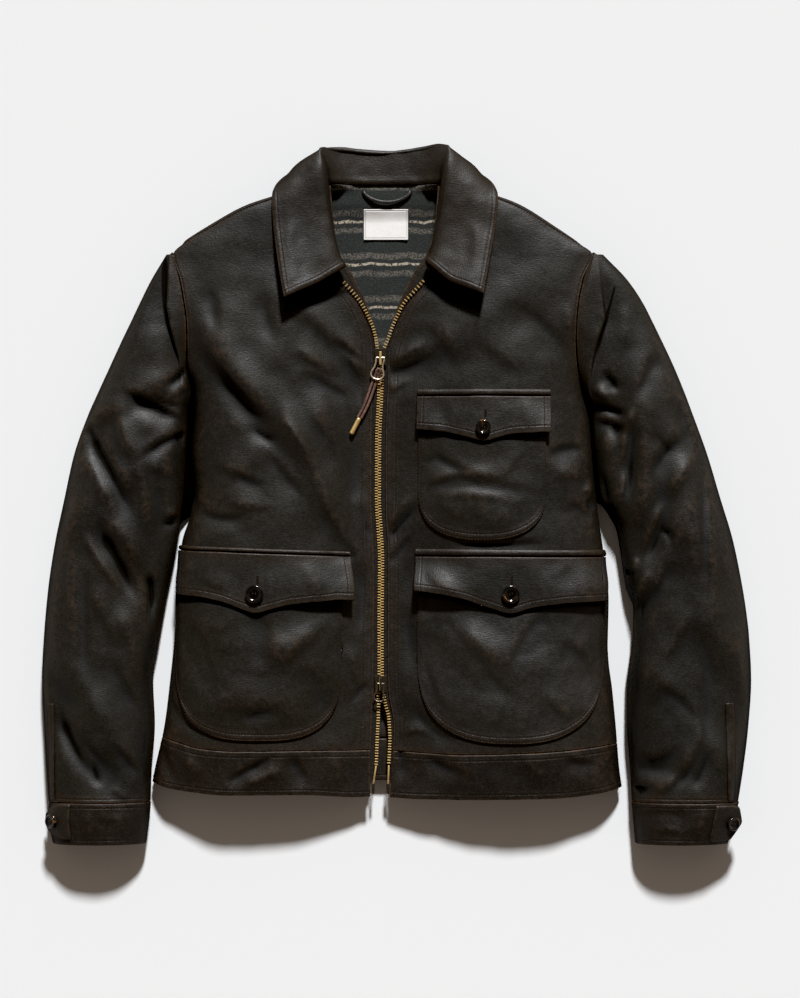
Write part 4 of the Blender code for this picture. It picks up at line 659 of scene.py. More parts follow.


# Creases, given one by one, each: from, over and to (x, y), half width and height, then 1 where it
# starts at a seam and its lean, both of which may be left out
creases = {
    "leftFront": (
        (-204, 183, -169, 129, -118, 80, 13.8, 3.9), (-126, 89, -98, 55, -74, 4, 4.6, 2.6),
        (-82, 21, -64, -24, -41, -58, 4.6, 2.1), (-192, 144, -158, 101, -126, 72, 6.9, -3),
        (-156, 78, -137, 65, -119, 60, 4.6, -2.5), (-145, 55, -118, 21, -88, -15, 10.3, -3.2),
        (-183, 220, -177, 178, -160, 133, 16.1, 2.2), (-200, 226, -192, 197, -190, 169, 8, -2.3),
        (-141, 224, -137, 186, -122, 154, 10.3, -3.2), (-109, 161, -80, 144, -50, 125, 10.3, 3.4),
        (-101, 133, -73, 116, -46, 101, 9.2, -3), (-69, 169, -50, 154, -31, 139, 5.8, -2.7),
        (-56, 154, -41, 139, -29, 127, 4.6, 1.6), (-94, 103, -69, 72, -46, 29, 13.8, 2.2),
        (-173, 29, -154, 16, -132, 10, 6.9, -2.8), (-194, 42, -169, 29, -147, 23, 9.2, 1.9),
        (-211, -7, -183, -23, -147, -16, 5.8, -2.5), (-179, -3, -152, -9, -122, -7, 5.8, 1.6),
        (-215, 14, -213, -1, -209, -15, 3, -4.8, 1), (-218, 78, -215, 57, -213, 33, 4.6, 1.5, 1),
        (-46, 10, -37, -20, -30, -54, 3.7, 2.5), (-37, -3, -31, -28, -25, -51, 3, -2.8),
        (-41, -66, -35, -109, -39, -151, 5.8, -1.9), (-52, -151, -41, -183, -31, -215, 5.8, 1.8),
        (-48, -221, -37, -204, -24, -198, 4.6, -2.1), (-73, -58, -54, -62, -33, -58, 4, -2.1),
        (-238, -208, -224, -234, -192, -251, 4.6, -2.3)),
    "rightFront": (
        (-3, 145, 14, 153, 35, 166, 5.2, 2.3, 1), (-3, 133, 18, 139, 48, 154, 6.9, -3, 1),
        (-3, 116, 7, 120, 22, 129, 4.6, 1.7, 1), (-3, -39, 11, -22, 29, -3, 4.6, -2.8, 1),
        (-4, -24, 7, -11, 20, 4, 4, 1.9, 1), (-3, -66, 7, -54, 18, -39, 4, -2.2, 1),
        (48, -48, 111, -50, 175, -47, 5.8, -3), (160, 39, 181, 51, 205, 45, 6.9, -3.2),
        (166, 21, 186, 25, 205, 16, 6.9, 2), (205, 7, 209, 10, 215, 14, 3.4, 3, 1),
        (202, 1, 209, -8, 217, -15, 4, -3), (214, 38, 207, 8, 200, -22, 4, 1.6),
        (181, -3, 196, -15, 213, -24, 5.8, -2.2), (111, 203, 154, 178, 181, 139, 16.1, -3),
        (80, 178, 111, 154, 143, 133, 13.8, 2), (26, 184, 48, 158, 58, 133, 11.5, -2.8),
        (175, 209, 188, 178, 186, 146, 9.2, 2), (7, -109, 16, -151, 10, -204, 6.9, -2.2),
        (16, -204, 37, -244, 80, -261, 5.8, -2.4), (5, -257, 22, -246, 48, -259, 4.6, 1.6)),
    "leftSleeve": (
        (-294, 114, -254, 95, -218, 74, 7.5, -8.1), (-260, 110, -241, 99, -217, 97, 4.6, -3.5),
        (-224, 133, -233, 125, -244, 115, 4.1, -3.7, 1), (-219, 120, -230, 112, -238, 101, 5.8, 2.1, 1),
        (-296, 105, -284, 61, -271, 38, 8, 4.2), (-271, 38, -264, 4, -265, -34, 4.8, 3),
        (-219, 67, -249, 55, -269, 36, 5.8, -4.8, 1), (-325, 65, -302, 29, -270, -34, 8.6, -7.6),
        (-323, 48, -310, 14, -279, -37, 10.3, 3.6), (-313, -11, -283, -47, -263, -81, 7.5, 3.7),
        (-318, -24, -293, -66, -270, -115, 7.5, -7.3), (-328, -34, -313, -66, -272, -117, 3.9, 2.7),
        (-263, -81, -258, -100, -260, -140, 3.7, -7.2), (-247, -21, -236, -17, -224, -14, 3.9, 2.4),
        (-249, -28, -236, -26, -224, -23, 3.7, -2.8), (-260, 40, -243, 29, -224, 29, 9.2, 2.1),
        (-255, 19, -249, -13, -251, -50, 6.9, -2.8), (-328, 82, -317, 61, -308, 48, 5.8, -3.7),
        (-325, 99, -330, 74, -336, 48, 4, 1.8), (-338, -41, -342, -98, -342, -172, 4.6, 1.8),
        (-325, -66, -328, -130, -325, -204, 4.6, -2.2), (-321, -87, -302, -130, -287, -162, 10.3, 2.5),
        (-308, -162, -287, -204, -270, -236, 11.5, -3.2), (-296, -109, -279, -151, -270, -204, 9.2, 2.1),
        (-359, -217, -340, -261, -315, -304, 7.5, -6.7), (-349, -213, -321, -255, -285, -295, 8.6, 3.9),
        (-321, -278, -315, -293, -311, -306, 3.9, -3.2), (-300, -257, -283, -280, -266, -299, 6.9, -2.8),
        (-279, -321, -292, -312, -302, -306, 4.6, 1.7)),
    "rightSleeve": (
        (208, 99, 227, 93, 251, 85, 5.8, -5.7), (215, 134, 230, 122, 236, 109, 5.8, -4.4),
        (209, 118, 219, 108, 230, 103, 4.6, 3), (207, 79, 230, 75, 247, 61, 8.6, -6.2),
        (255, 95, 243, 72, 242, 27, 4.1, 4), (242, 33, 240, 8, 229, -16, 4.1, 3.4),
        (251, 82, 251, 40, 241, -13, 6.9, -4), (217, 29, 224, 6, 222, -11, 5.8, -2.6),
        (284, -1, 271, -32, 257, -64, 3.7, 4.1), (257, -62, 252, -75, 250, -90, 3.4, 3.3),
        (271, -75, 258, -102, 251, -143, 3.7, 4.1), (289, -9, 277, -45, 262, -75, 5.8, -3.3),
        (277, -87, 264, -115, 258, -151, 5.8, -2.9), (237, -72, 245, -78, 255, -81, 3.4, -5.5),
        (251, -119, 252, -132, 251, -145, 2.5, -5.5), (279, -34, 290, -40, 288, -58, 4.1, -3.7),
        (320, 48, 299, 19, 282, -13, 8, 3.6), (313, 65, 285, 44, 268, 8, 11.5, -4.8),
        (281, 158, 266, 125, 255, 97, 9.2, -3.7), (241, 209, 243, 178, 234, 144, 10.3, 2.5),
        (300, 125, 317, 76, 325, 44, 5.8, 3), (292, 112, 306, 72, 315, 40, 6.9, -3.3),
        (272, 72, 283, 55, 298, 50, 5.8, -2.2), (323, 57, 326, -32, 329, -151, 5.8, -2.4),
        (330, 57, 333, -32, 335, -151, 4.6, 1.5), (329, -140, 329, -215, 325, -278, 6.3, -2.2),
        (298, -66, 281, -98, 264, -130, 10.3, -3.7), (313, -109, 294, -151, 270, -181, 11.5, 2.8),
        (270, -204, 298, -215, 317, -246, 10.3, -3.5), (266, -314, 304, -282, 329, -223, 9.2, 4.3),
        (255, -274, 281, -278, 306, -259, 9.2, -3.5), (245, -302, 260, -308, 281, -306, 6.3, -4),
        (311, -310, 323, -289, 332, -261, 5.8, -3.1), (349, -215, 351, -257, 347, -310, 4.6, -1.8)),
    "back": (
        (-150, 200, -60, 170, 20, 190, 12, 2.5, 0, 0), (-120, 120, -40, 60, -10, -20, 10, 2.2, 0, 0.2),
        (60, 150, 100, 90, 150, 40, 10, 2.4, 0, 0), (-140, -20, -60, -50, 40, -40, 12, 2, 0, 0),
        (20, -90, 90, -140, 160, -160, 11, 2.2, 0, 0.2), (-150, -120, -100, -180, -70, -230, 10, 2, 0, 0),
        (-60, 250, -10, 235, 50, 252, 9, 1.8, 0, 0), (40, 20, 60, -40, 50, -90, 9, 1.6, 0, 0)),
    "under": (
        (-330, -60, -300, -90, -260, -80, 9, 2, 0, 0),
        (-345, -220, -310, -250, -280, -300, 9, 2.4, 0, 0.2),
        (-310, 60, -280, 40, -250, 60, 8, 2.2, 0, 0), (330, -60, 300, -90, 260, -70, 9, 2, 0, 0),
        (345, -220, 310, -250, 280, -300, 9, 2.4, 0, 0.2), (300, 60, 270, 30, 240, 50, 8, 2.2, 0, 0),
        (-340, -150, -320, -170, -300, -160, 8, 1.6, 0, 0),
        (340, -150, 320, -170, 300, -160, 8, 1.6, 0, 0)),
    "leftCuff": (
        (-330, -326, -322, -345, -326, -366, 5, 1.4, 0, 0),
        (-296, -324, -300, -345, -292, -366, 6, -1.4, 0, 0),
        (-318, -330, -300, -338, -270, -336, 5, 1, 0, 0),
        (-262, -328, -256, -346, -260, -364, 4, -1.2, 0, 0)),
    "rightCuff": (
        (330, -326, 322, -345, 326, -366, 5, 1.3, 0, 0), (296, -324, 300, -345, 292, -366, 6, -1.3, 0, 0),
        (262, -340, 286, -334, 312, -342, 5, -0.9, 0, 0),
        (270, -352, 292, -350, 306, -360, 4, 1.1, 0, 0)),
    "collar": (
        (-100, 296, -112, 270, -104, 240, 7, 1.2, 0, 0), (74, 300, 86, 270, 78, 240, 7, 1.2, 0, 0),
        (-86, 352, -96, 340, -110, 334, 5, -1, 0, 0)),
    "lining": (
        (-40, 200, -20, 240, -24, 290, 8, 1.6, 0, 0), (0, 190, -4, 230, 6, 280, 7, 1.2, 0, 0)),
    # painted shadow lines in the recess beside each sleeve head: they darken the cloth and shape nothing
    "leftRecess": ((-243, 252, -242, 196, -222, 134, 2.8, 3.4, 1, 0),),
    "rightRecess": ((232, 222, 221, 180, 211, 142, 1.8, 3, 1, 0),),
    "pocket_lower_left": (
        (-135, -181, -103, -153, -67, -130, 13.8, 3.9), (-192, -204, -154, -217, -101, -204, 12.6, 2.6),
        (-219, -132, -202, -172, -192, -215, 10.3, -3.4), (-152, -121, -141, -151, -154, -185, 9.2, -2.9),
        (-101, -174, -84, -204, -77, -236, 9.2, -2.6), (-164, -240, -141, -227, -111, -232, 5.8, -1.8)),
    "pocket_lower_right": (
        (45, -121, 80, -174, 135, -221, 11.5, -4.4), (160, -123, 139, -151, 120, -183, 9.2, -3.6),
        (67, -128, 96, -160, 128, -185, 10.3, 2.5), (171, -151, 194, -176, 202, -215, 9.2, -2.3),
        (37, -162, 48, -204, 71, -232, 6.9, 1.8), (154, -204, 171, -219, 186, -236, 6.9, 1.8)),
    "pocket_chest": (
        (31, 16, 80, 26, 154, 10, 6.9, 1.9), (34, 7, 80, 15, 152, -1, 5.8, -3.4),
        (37, -5, 84, 4, 143, -13, 6.9, 1.4), (38, 48, 60, 33, 88, 23, 6.3, -2.6),
        (132, 55, 120, 33, 103, 25, 8, 1.7), (43, -3, 65, -15, 84, -32, 6.9, 1.1)),
    "flap_lower_left": (
        (-101, -66, -88, -87, -84, -107, 8, 1.4), (-207, -87, -190, -98, -173, -104, 8, -1.4)),
    "flap_lower_right": (
        (31, -66, 54, -92, 80, -102, 8, 1.4), (175, -73, 181, -87, 175, -104, 9.2, -1.4)),
    "flap_chest": (
        (132, 108, 139, 91, 137, 72, 6.9, 1.1), (43, 99, 54, 84, 48, 69, 6.9, -1.2)),
    "leftBand": (
        (-249, -259, -242, -280, -230, -306, 5.8, -2.2), (-226, -270, -215, -285, -211, -304, 6.9, 2.1),
        (-179, -304, -152, -287, -118, -270, 6.9, -3.9), (-164, -312, -141, -295, -109, -289, 6.9, 2.8),
        (-118, -270, -101, -289, -92, -310, 8, -2.7), (-69, -268, -60, -289, -65, -310, 8, 1.8)),
    "rightBand": (
        (1, -261, 7, -282, 3, -306, 4.6, -2.9), (26, -270, 54, -287, 80, -295, 8, -3.2),
        (132, -270, 147, -287, 149, -308, 9.2, 1.9), (175, -274, 196, -282, 217, -278, 6.9, -2.9))}


forms = {"fallPower": 2.3, "backRadius": 16.0, "sideSeam": 9.0, "shoulderTurn": 12.0,
         "fallClear": 5.0, "backBow": 0.6, "backHem": -300.5, "backSeam": -256.0,
         "seamLevel": -265.0, "neckMiddle": -11.0, "lumps": 0.75, "crumple": 0.30, "swells": 2.0,
         "neckCurl": 13.8, "pushUp": 9.0, "pushAt": -15.0, "pushWide": 26.0, "crestSteps": 12}
fronts = {"left": leftFront, "right": rightFront}
sleeves = {"left": leftSleeve, "right": rightSleeve}
cuffs = {"left": leftCuff, "right": rightCuff}
away = {"left": -1, "right": 1}


def folded(x, y):
    total = np.zeros(np.broadcast(x, y).shape)
    for x0, y0, x1, y1, width, height in largeFolds:
        dx, dy = x1 - x0, y1 - y0
        length = math.hypot(dx, dy)
        along = ((x - x0) * dx + (y - y0) * dy) / length
        across = ((y - y0) * dx - (x - x0) * dy) / length
        past = np.maximum(np.maximum(-along, along - length), 0) / (0.6 * length)
        total += height * np.exp(-(across / width) ** 2) * (1 - ease(past))
    return total


def fall(part, turn):
    # height of cloth from its edge (0) up to its crown (1): turn 1 leaves the edge upright
    q = 1 - np.clip(part, 0, 1)
    return (1 - q ** forms["fallPower"]) ** (1 / (1 + turn))


def seamTurn(edgeZ):
    return np.clip((30 - edgeZ) / 20, 0, 1)


def uneasy(x, y, seed):
    # the slow unevenness of cloth that lies over air, longer down one diagonal
    lean = away["left" if seed % 2 else "right"] * 0.6
    across, along = 0.8 * x + lean * y, (0.8 * y - lean * x) * 0.5
    return (forms["swells"] * rough(across, along, 38, seed)
            + forms["lumps"] * rough(x, y, 32, seed + 1)
            + forms["crumple"] * rough(x, y, 13, seed + 2))


def frontHeight(side, x, y):
    table = fronts[side]
    sideX, sideZ = table.read("sideX", y), table.read("sideZ", y)
    edgeX, edgeZ = table.read("edgeX", y), table.read("edgeZ", y)
    crown = table.read("crownZ", y)
    u = (x - sideX) / (edgeX - sideX)
    outer = sideZ + (crown - sideZ) * fall(u / 0.5, seamTurn(sideZ))
    inner = edgeZ + (crown - edgeZ) * np.cos(np.clip(u - 0.5, 0, 0.5) * math.pi) ** 1.3
    inside = ease(u / 0.12) * ease((1 - u) / 0.1)
    gap = np.abs(x - edgeX)
    placket = np.exp(-((gap - 6) / 4.5) ** 2) * rough(y, gap, 7, 5) * 0.35
    small = uneasy(x, y, 1 if side == "left" else 4) * inside
    return (np.where(u < 0.5, outer, inner) + folded(x, y) * inside
            + creased(x, y, creases[side + "Front"]) * ease(u / 0.04) * ease((1 - u) / 0.03)
            + small + placket)


def sleeveHeight(table, x, y, marks=()):
    outerX, outerZ = table.read("outerX", y), table.read("outerZ", y)
    innerX, innerZ = table.read("innerX", y), table.read("innerZ", y)
    crown, step = table.read("crownZ", y), table.read("step", y)
    width = innerX - outerX
    roll, drop = sleeveRoll(table, y)
    part = (x - outerX) / width
    outer = outerZ + (crown - outerZ) * fall(part * 2, 1)
    inner = innerZ + (crown - innerZ) * fall((1 - part) * 2, seamTurn(innerZ))
    past = (innerX - roll - x) / drop
    fallen = ease(past) * np.exp(-np.maximum(past - 1, 0) * np.abs(drop) / 38) * ease(part / 0.35)
    inside = ease(part / 0.12) * ease((1 - part) / 0.12)
    small = uneasy(x, y, 7 if width.flat[0] > 0 else 10) * inside
    return (np.where(part < 0.5, outer, inner) - step * fallen + folded(x, y) * inside
            + creased(x, y, marks) * ease(part / 0.05) * ease((1 - part) / 0.05) + small)


def sleeveRoll(table, y):
    outerX, innerX = table.read("outerX", y), table.read("innerX", y)
    width = innerX - outerX
    side = np.sign(width)
    roll = np.minimum(table.read("roll", y), 0.35 * np.abs(width))
    return roll * side, 0.45 * np.minimum(roll, 8) * side


def sleeveAcross(table, y):
    # a row's places: the main width, the drop beside the sleeve head and the head itself
    outerX, innerX = table.read("outerX", y), table.read("innerX", y)
    roll, drop = sleeveRoll(table, y)
    main = np.concatenate(((0, 0.004, 0.012, 0.025),
                           np.linspace(0.045, 1, int(130 / draft["cell"]))))
    head = np.array((0.25, 0.5, 0.75, 1.0))
    rest = np.concatenate((np.linspace(0.12, 0.92, int(30 / draft["cell"])), (0.965, 0.99, 1.0)))
    low, high = innerX - roll - drop, innerX - roll
    return np.concatenate((between(outerX, low, main), between(low, high, head),
                           between(high, innerX, rest)), axis=1)


def grid(x, y, z):
    x, y, z = np.broadcast_arrays(x, y, z)
    return np.stack((x, y, z), axis=-1).astype(float)


def onPanel(height, x, y, lift):
    # places above a surface, moved out along its normals
    step = 1.5
    z = height(x, y)
    slopeX = (height(x + step, y) - height(x - step, y)) / (2 * step)
    slopeY = (height(x, y + step) - height(x, y - step)) / (2 * step)
    normal = unit(grid(-slopeX, -slopeY, np.ones_like(z)))
    return grid(x, y, z) + normal * np.asarray(lift)[..., None]


def onFront(side, x, y, lift):
    return onPanel(lambda px, py: frontHeight(side, px, py), x, y, lift)


def underHeight(y):
    return forms["sideSeam"] * (1 - ease((y - 90) / 22))


def cornered(edgeX, edgeZ, towards, radius, steps):
    # the curve that brings cloth from an upright edge down to the floor
    angle = np.linspace(0, math.pi / 2, steps + 1)
    return (edgeX[:, None] + towards * radius[:, None] * (1 - np.cos(angle)),
            edgeZ[:, None] * (1 - np.sin(angle)))


def underAcross(outerX, outerZ, innerX, innerZ, steps, middle):
    # rows of cloth that lies on the floor and turns up at both ends to a seam
    side = np.sign(innerX - outerX)[0]
    radius = np.minimum(forms["backRadius"], 0.35 * np.abs(innerX - outerX))
    leftX, leftZ = cornered(outerX, outerZ - draft["seam"], side, radius, steps)
    rightX, rightZ = cornered(innerX, innerZ - draft["seam"], -side, radius, steps)
    midX = leftX[:, -1:] + (rightX[:, -1:] - leftX[:, -1:]) * np.asarray(middle)
    x = np.concatenate((leftX, midX, rightX[:, ::-1]), axis=1)
    return x, np.concatenate((leftZ, midX * 0, rightZ[:, ::-1]), axis=1)


pieces = {}


def newMesh(name, vertices, faces, *finishes, smooth=True):
    mesh = bpy.data.meshes.new(name)
    mesh.from_pydata(np.asarray(vertices).tolist(), [], faces)
    mesh.update()
    if smooth:
        mesh.shade_smooth()
    for finish in finishes:
        mesh.materials.append(finish)
    return linked(name, mesh)


def belongs(piece, body="jacket", node=None):
    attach(piece, body)
    if node:
        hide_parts(node)
    return piece


def square(points):
    # directions square to a grid, all on one side of it
    return unit(np.cross(np.gradient(points, axis=1), np.gradient(points, axis=0)))


def facing(points, up, ring):
    # a grid's normals: outwards on a tube, or else on its upper side or its under side
    if ring:
        normals = square(np.concatenate((points[:, -2:], points, points[:, :2]), axis=1))[:, 2:-2]
        right = np.sum(normals * (points - points.mean(axis=1, keepdims=True))) > 0
    else:
        normals = square(points)
        right = (normals[:, :, 2].mean() > 0) == up
    return normals if right else -normals


def rims(points, ring):
    # how far each point is from a grid's first and last columns, and its top and bottom rows
    across = np.linalg.norm(np.diff(points, axis=1), axis=2)
    down = np.linalg.norm(np.diff(points, axis=0), axis=2)
    first = np.concatenate((np.zeros((len(points), 1)), np.cumsum(across, axis=1)), axis=1)
    top = np.concatenate((np.zeros((1, points.shape[1])), np.cumsum(down, axis=0)), axis=0)
    last, bottom = first[:, -1:] - first, top[-1:] - top
    if ring:
        first, last = first * 0 + 99, last * 0 + 99
    return np.stack((first, last, top, bottom), axis=2)


def crests(points):
    # where cloth stands over the average round it: ridges above 0, hollows below, in millimetres
    z = points[:, :, 2]
    soft = z.copy()
    for _ in range(forms["crestSteps"]):
        grown = np.pad(soft, 1, mode="edge")
        soft = (grown[:-2, 1:-1] + grown[2:, 1:-1] + grown[1:-1, :-2] + grown[1:-1, 2:]) / 4
    return z - soft


def clothPiece(name, points, wall, finish, slot="waxed_cotton", ring=False, up=True,
               normals=None, node=None, dark=0.0):
    # A thin closed wall whose outer face is a grid of points, its edges rounded over.  Rows run
    # from the top edge down.
    rows, columns = points.shape[:2]
    if normals is None:
        normals = facing(points, up, ring)
    edge = rims(points, ring)
    radius = 0.45 * wall
    gap = np.clip(edge.min(axis=2), 0, radius)
    sink = (radius - np.sqrt(np.maximum(radius ** 2 - (radius - gap) ** 2, 0)))[:, :, None]
    outer, inner = points - normals * sink, points - normals * (wall - sink)
    vertices = np.concatenate((outer.reshape(-1, 3), inner.reshape(-1, 3)))
    vertices[:, 2] = np.maximum(vertices[:, 2], 0.0)
    number = np.arange(rows * columns).reshape(rows, columns)
    right = np.roll(number, -1, axis=1)
    spans = columns if ring else columns - 1
    quads = np.stack((number[:-1, :spans], right[:-1, :spans], right[1:, :spans],
                      number[1:, :spans]), axis=-1).reshape(-1, 4)
    under = rows * columns
    walls = [(right[0, :spans], number[0, :spans]), (number[-1, :spans], right[-1, :spans])]
    if not ring:
        walls += [(number[:-1, 0], number[1:, 0]), (number[1:, -1], number[:-1, -1])]
    faces = np.concatenate([quads, quads[:, ::-1] + under]
                           + [np.stack((p, q, q + under, p + under), axis=-1) for p, q in walls])
    corners = vertices[faces]
    volume = np.sum(np.cross(corners[:, 0], corners[:, 1]) * corners[:, 2]
                    + np.cross(corners[:, 0], corners[:, 2]) * corners[:, 3])
    if volume < 0:
        faces = faces[:, ::-1]
    piece = newMesh(name, inMetres(vertices), faces.tolist(), finish)
    both = np.concatenate((edge.reshape(-1, 4), edge.reshape(-1, 4)))
    piece.data.attributes.new("rims", "FLOAT_COLOR", "POINT").data.foreach_set("color", both.ravel())
    # the crest attribute is lowered by dark, the painted shade and shadow that the finish turns darker
    # and glossless
    high = (crests(points) * (1 if up else -1) - dark).ravel()
    high = np.concatenate((high, high * 0))
    piece.data.attributes.new("crestAndShade", "FLOAT", "POINT").data.foreach_set("value", high)
    pieces[name] = {"points": points, "normals": normals, "rims": edge}
    return belongs(piece, node=node)


def laid(piece, width, length, restsOn, area=None):
    # what a piece was cut to, in millimetres, all round where it is a tube: reckoned, but neither kept
    # nor used
    mm = draft["mm"]
    width * mm
    length * mm
    area and area * mm * mm


def waxedPiece(node, points, wall, cut, look, **form):
    # the shell over one of the frame's cloth nodes, with its own finish; the cut it comes from is handed
    # to laid, which keeps none of it
    finish = waxedCotton("waxed_" + node, **look)
    piece = clothPiece("cloth_" + node, points, wall, finish, node=node, **form)
    laid(piece, *cut)
    return piece


def edgeLine(name, edge, gap, start, end):
    # the line on a piece that runs a set distance inside one of its edges, with its normals
    piece = pieces[name]
    side = ("first", "last", "top", "bottom").index(edge)
    kept = piece["points"], piece["normals"], piece["rims"][:, :, side]
    if side > 1:
        kept = (np.swapaxes(values, 0, 1) for values in kept)
    line = []
    for row, up, far in zip(*kept):
        order = np.argsort(far)
        line.append([np.interp(gap, far[order], values[order]) for values in (*row.T, *up.T)])
    line = np.array(line)
    length = np.linalg.norm(np.diff(line[:, :3], axis=0), axis=1)
    along = np.concatenate(([0], np.cumsum(length)))
    places = np.arange(start * along[-1], end * along[-1], threads["pitch"])
    return np.stack([np.interp(places, along, line[:, k]) for k in range(6)], axis=1)


worn = {"band": {"brown": 0.6, "shade": 0.65, "shine": 0.82}}
body = {"wall": 1.8, "bandWall": 2.4, "across": 215, "topY": 331.0, "turnY": -240.0, "underCollar": {
    "left": ((-119.0, 212.0), (-58.0, 232.0), (-38.0, 240.0)),
    "right": ((28.0, 240.0), (60.0, 226.0), (94.0, 213.0))}}


def uneven(length, cell):
    # places from 0 to 1, about a cell apart and closer beside both ends
    close = np.array((0, 0.35, 1.0, 2.2)) / length
    middle = np.linspace(4.4 / length, 1 - 4.4 / length, max(int(length / cell), 4))
    return np.concatenate((close, middle, 1 - close[::-1]))


def frontAcross(side):
    # places from the side seam to the zip, and where they come to at the hem band's seam
    table, u = fronts[side], uneven(body["across"], draft["cell"])
    ends = [table.read(name, forms["seamLevel"]) for name in ("sideX", "edgeX")]
    return table, u, lerp(*ends, u)


def makeFront(side):
    table, u, seamX = frontAcross(side)
    seamY = hem.read("seam", seamX) + draft["seam"] / 2
    high = np.linspace(body["topY"], body["turnY"], 196)
    low = uneven(28, draft["cell"])[4:]
    y = np.concatenate((np.broadcast_to(high[:, None], (len(high), len(u))),
                        lerp(body["turnY"], seamY[None, :], low[:, None])))
    x = lerp(table.read("sideX", y), table.read("edgeX", y), u[None, :])
    points = grid(x, y, frontHeight(side, x, y))
    # painted shadow of the collar's leaf: darker and glossless on the front below its lower edge
    under = np.array(body["underCollar"][side])
    within = ease((x - under[0, 0]) / 5) * ease((under[-1, 0] - x) / 5)
    dark = 2.8 * within * ease((y + 27 - np.interp(x, under[:, 0], under[:, 1])) / 14)
    look = {"first": (2.0,), "last": (1.8, 10.5), "top": (2.2,), "shine": 1.06}
    waxedPiece("front_" + side, points, body["wall"], (250, 640, ["cloth_back"], 124000), look,
               dark=dark)


def makeBand(side):
    table, u, seamX = frontAcross(side)
    top, bottom = hem.read("seam", seamX) - draft["seam"] / 2, hem.read("edge", seamX)
    y = lerp(top[None, :], bottom[None, :], uneven(48, 2.6)[:, None])
    x = lerp(table.read("sideX", y), table.read("edgeX", y), u[None, :])
    z = frontHeight(side, x, y)
    soft = rough(x, y * 0.35, 16, 11) * 0.6 + rough(x, y * 0.5, 7, 12) * 0.25
    soft = soft + creased(x, y, creases[side + "Band"])
    points = grid(x, y, z + soft * ease(u / 0.05) * ease((1 - u) / 0.03))
    waxedPiece("band_" + side, points, body["bandWall"], (245, 51, ["cloth_band_back"]),
               {"last": (3.0,), "top": (6.5,), "bottom": (5.5,), **worn["band"]})


def neckLift(x, y):
    return (forms["fallClear"] * ease((y - 292) / 22)
            * ease((108 + np.minimum(x, -x - 22)) / 20))


def neckCurl(x, y):
    # how far the neck's edge turns up towards the two shoulder seams
    turn = np.radians(np.minimum(backTop.read("turn", x), 84))
    reach = forms["shoulderTurn"]
    low = backTop.read("y", x) - reach * np.sin(turn)
    angle = np.arcsin(np.clip((y - low) / reach, 0, 0.99))
    return forms["neckCurl"] * (1 - np.cos(np.minimum(angle, turn)))


def backRow(y, steps, middle):
    y = np.atleast_1d(np.asarray(y, float))
    ends = []
    for table in (leftFront, rightFront):
        high = underHeight(y) + draft["seam"]
        ends += [table.read("sideX", y), np.where(y < 95, table.read("sideZ", y), high)]
    x, z = underAcross(*ends, steps, middle)
    return x, y[:, None] + x * 0, z


sideRows = (-240, -212, -184, -156, -128, -100, -72, -47, -20, 7, 35, 62, 90)
armholeRows = (110, 128, 147, 168, 187, 206, 231)
upperRows = (0.34, 0.67, 0.87)  # parts of the way from the armholes to the shoulders


def pushedUp(x, y):
    # behind the open end of the zip the back stands off the floor
    bump = np.exp(-((x - forms["pushAt"]) / forms["pushWide"]) ** 2)
    return forms["pushUp"] * bump * ease((-190 - y) / 66)


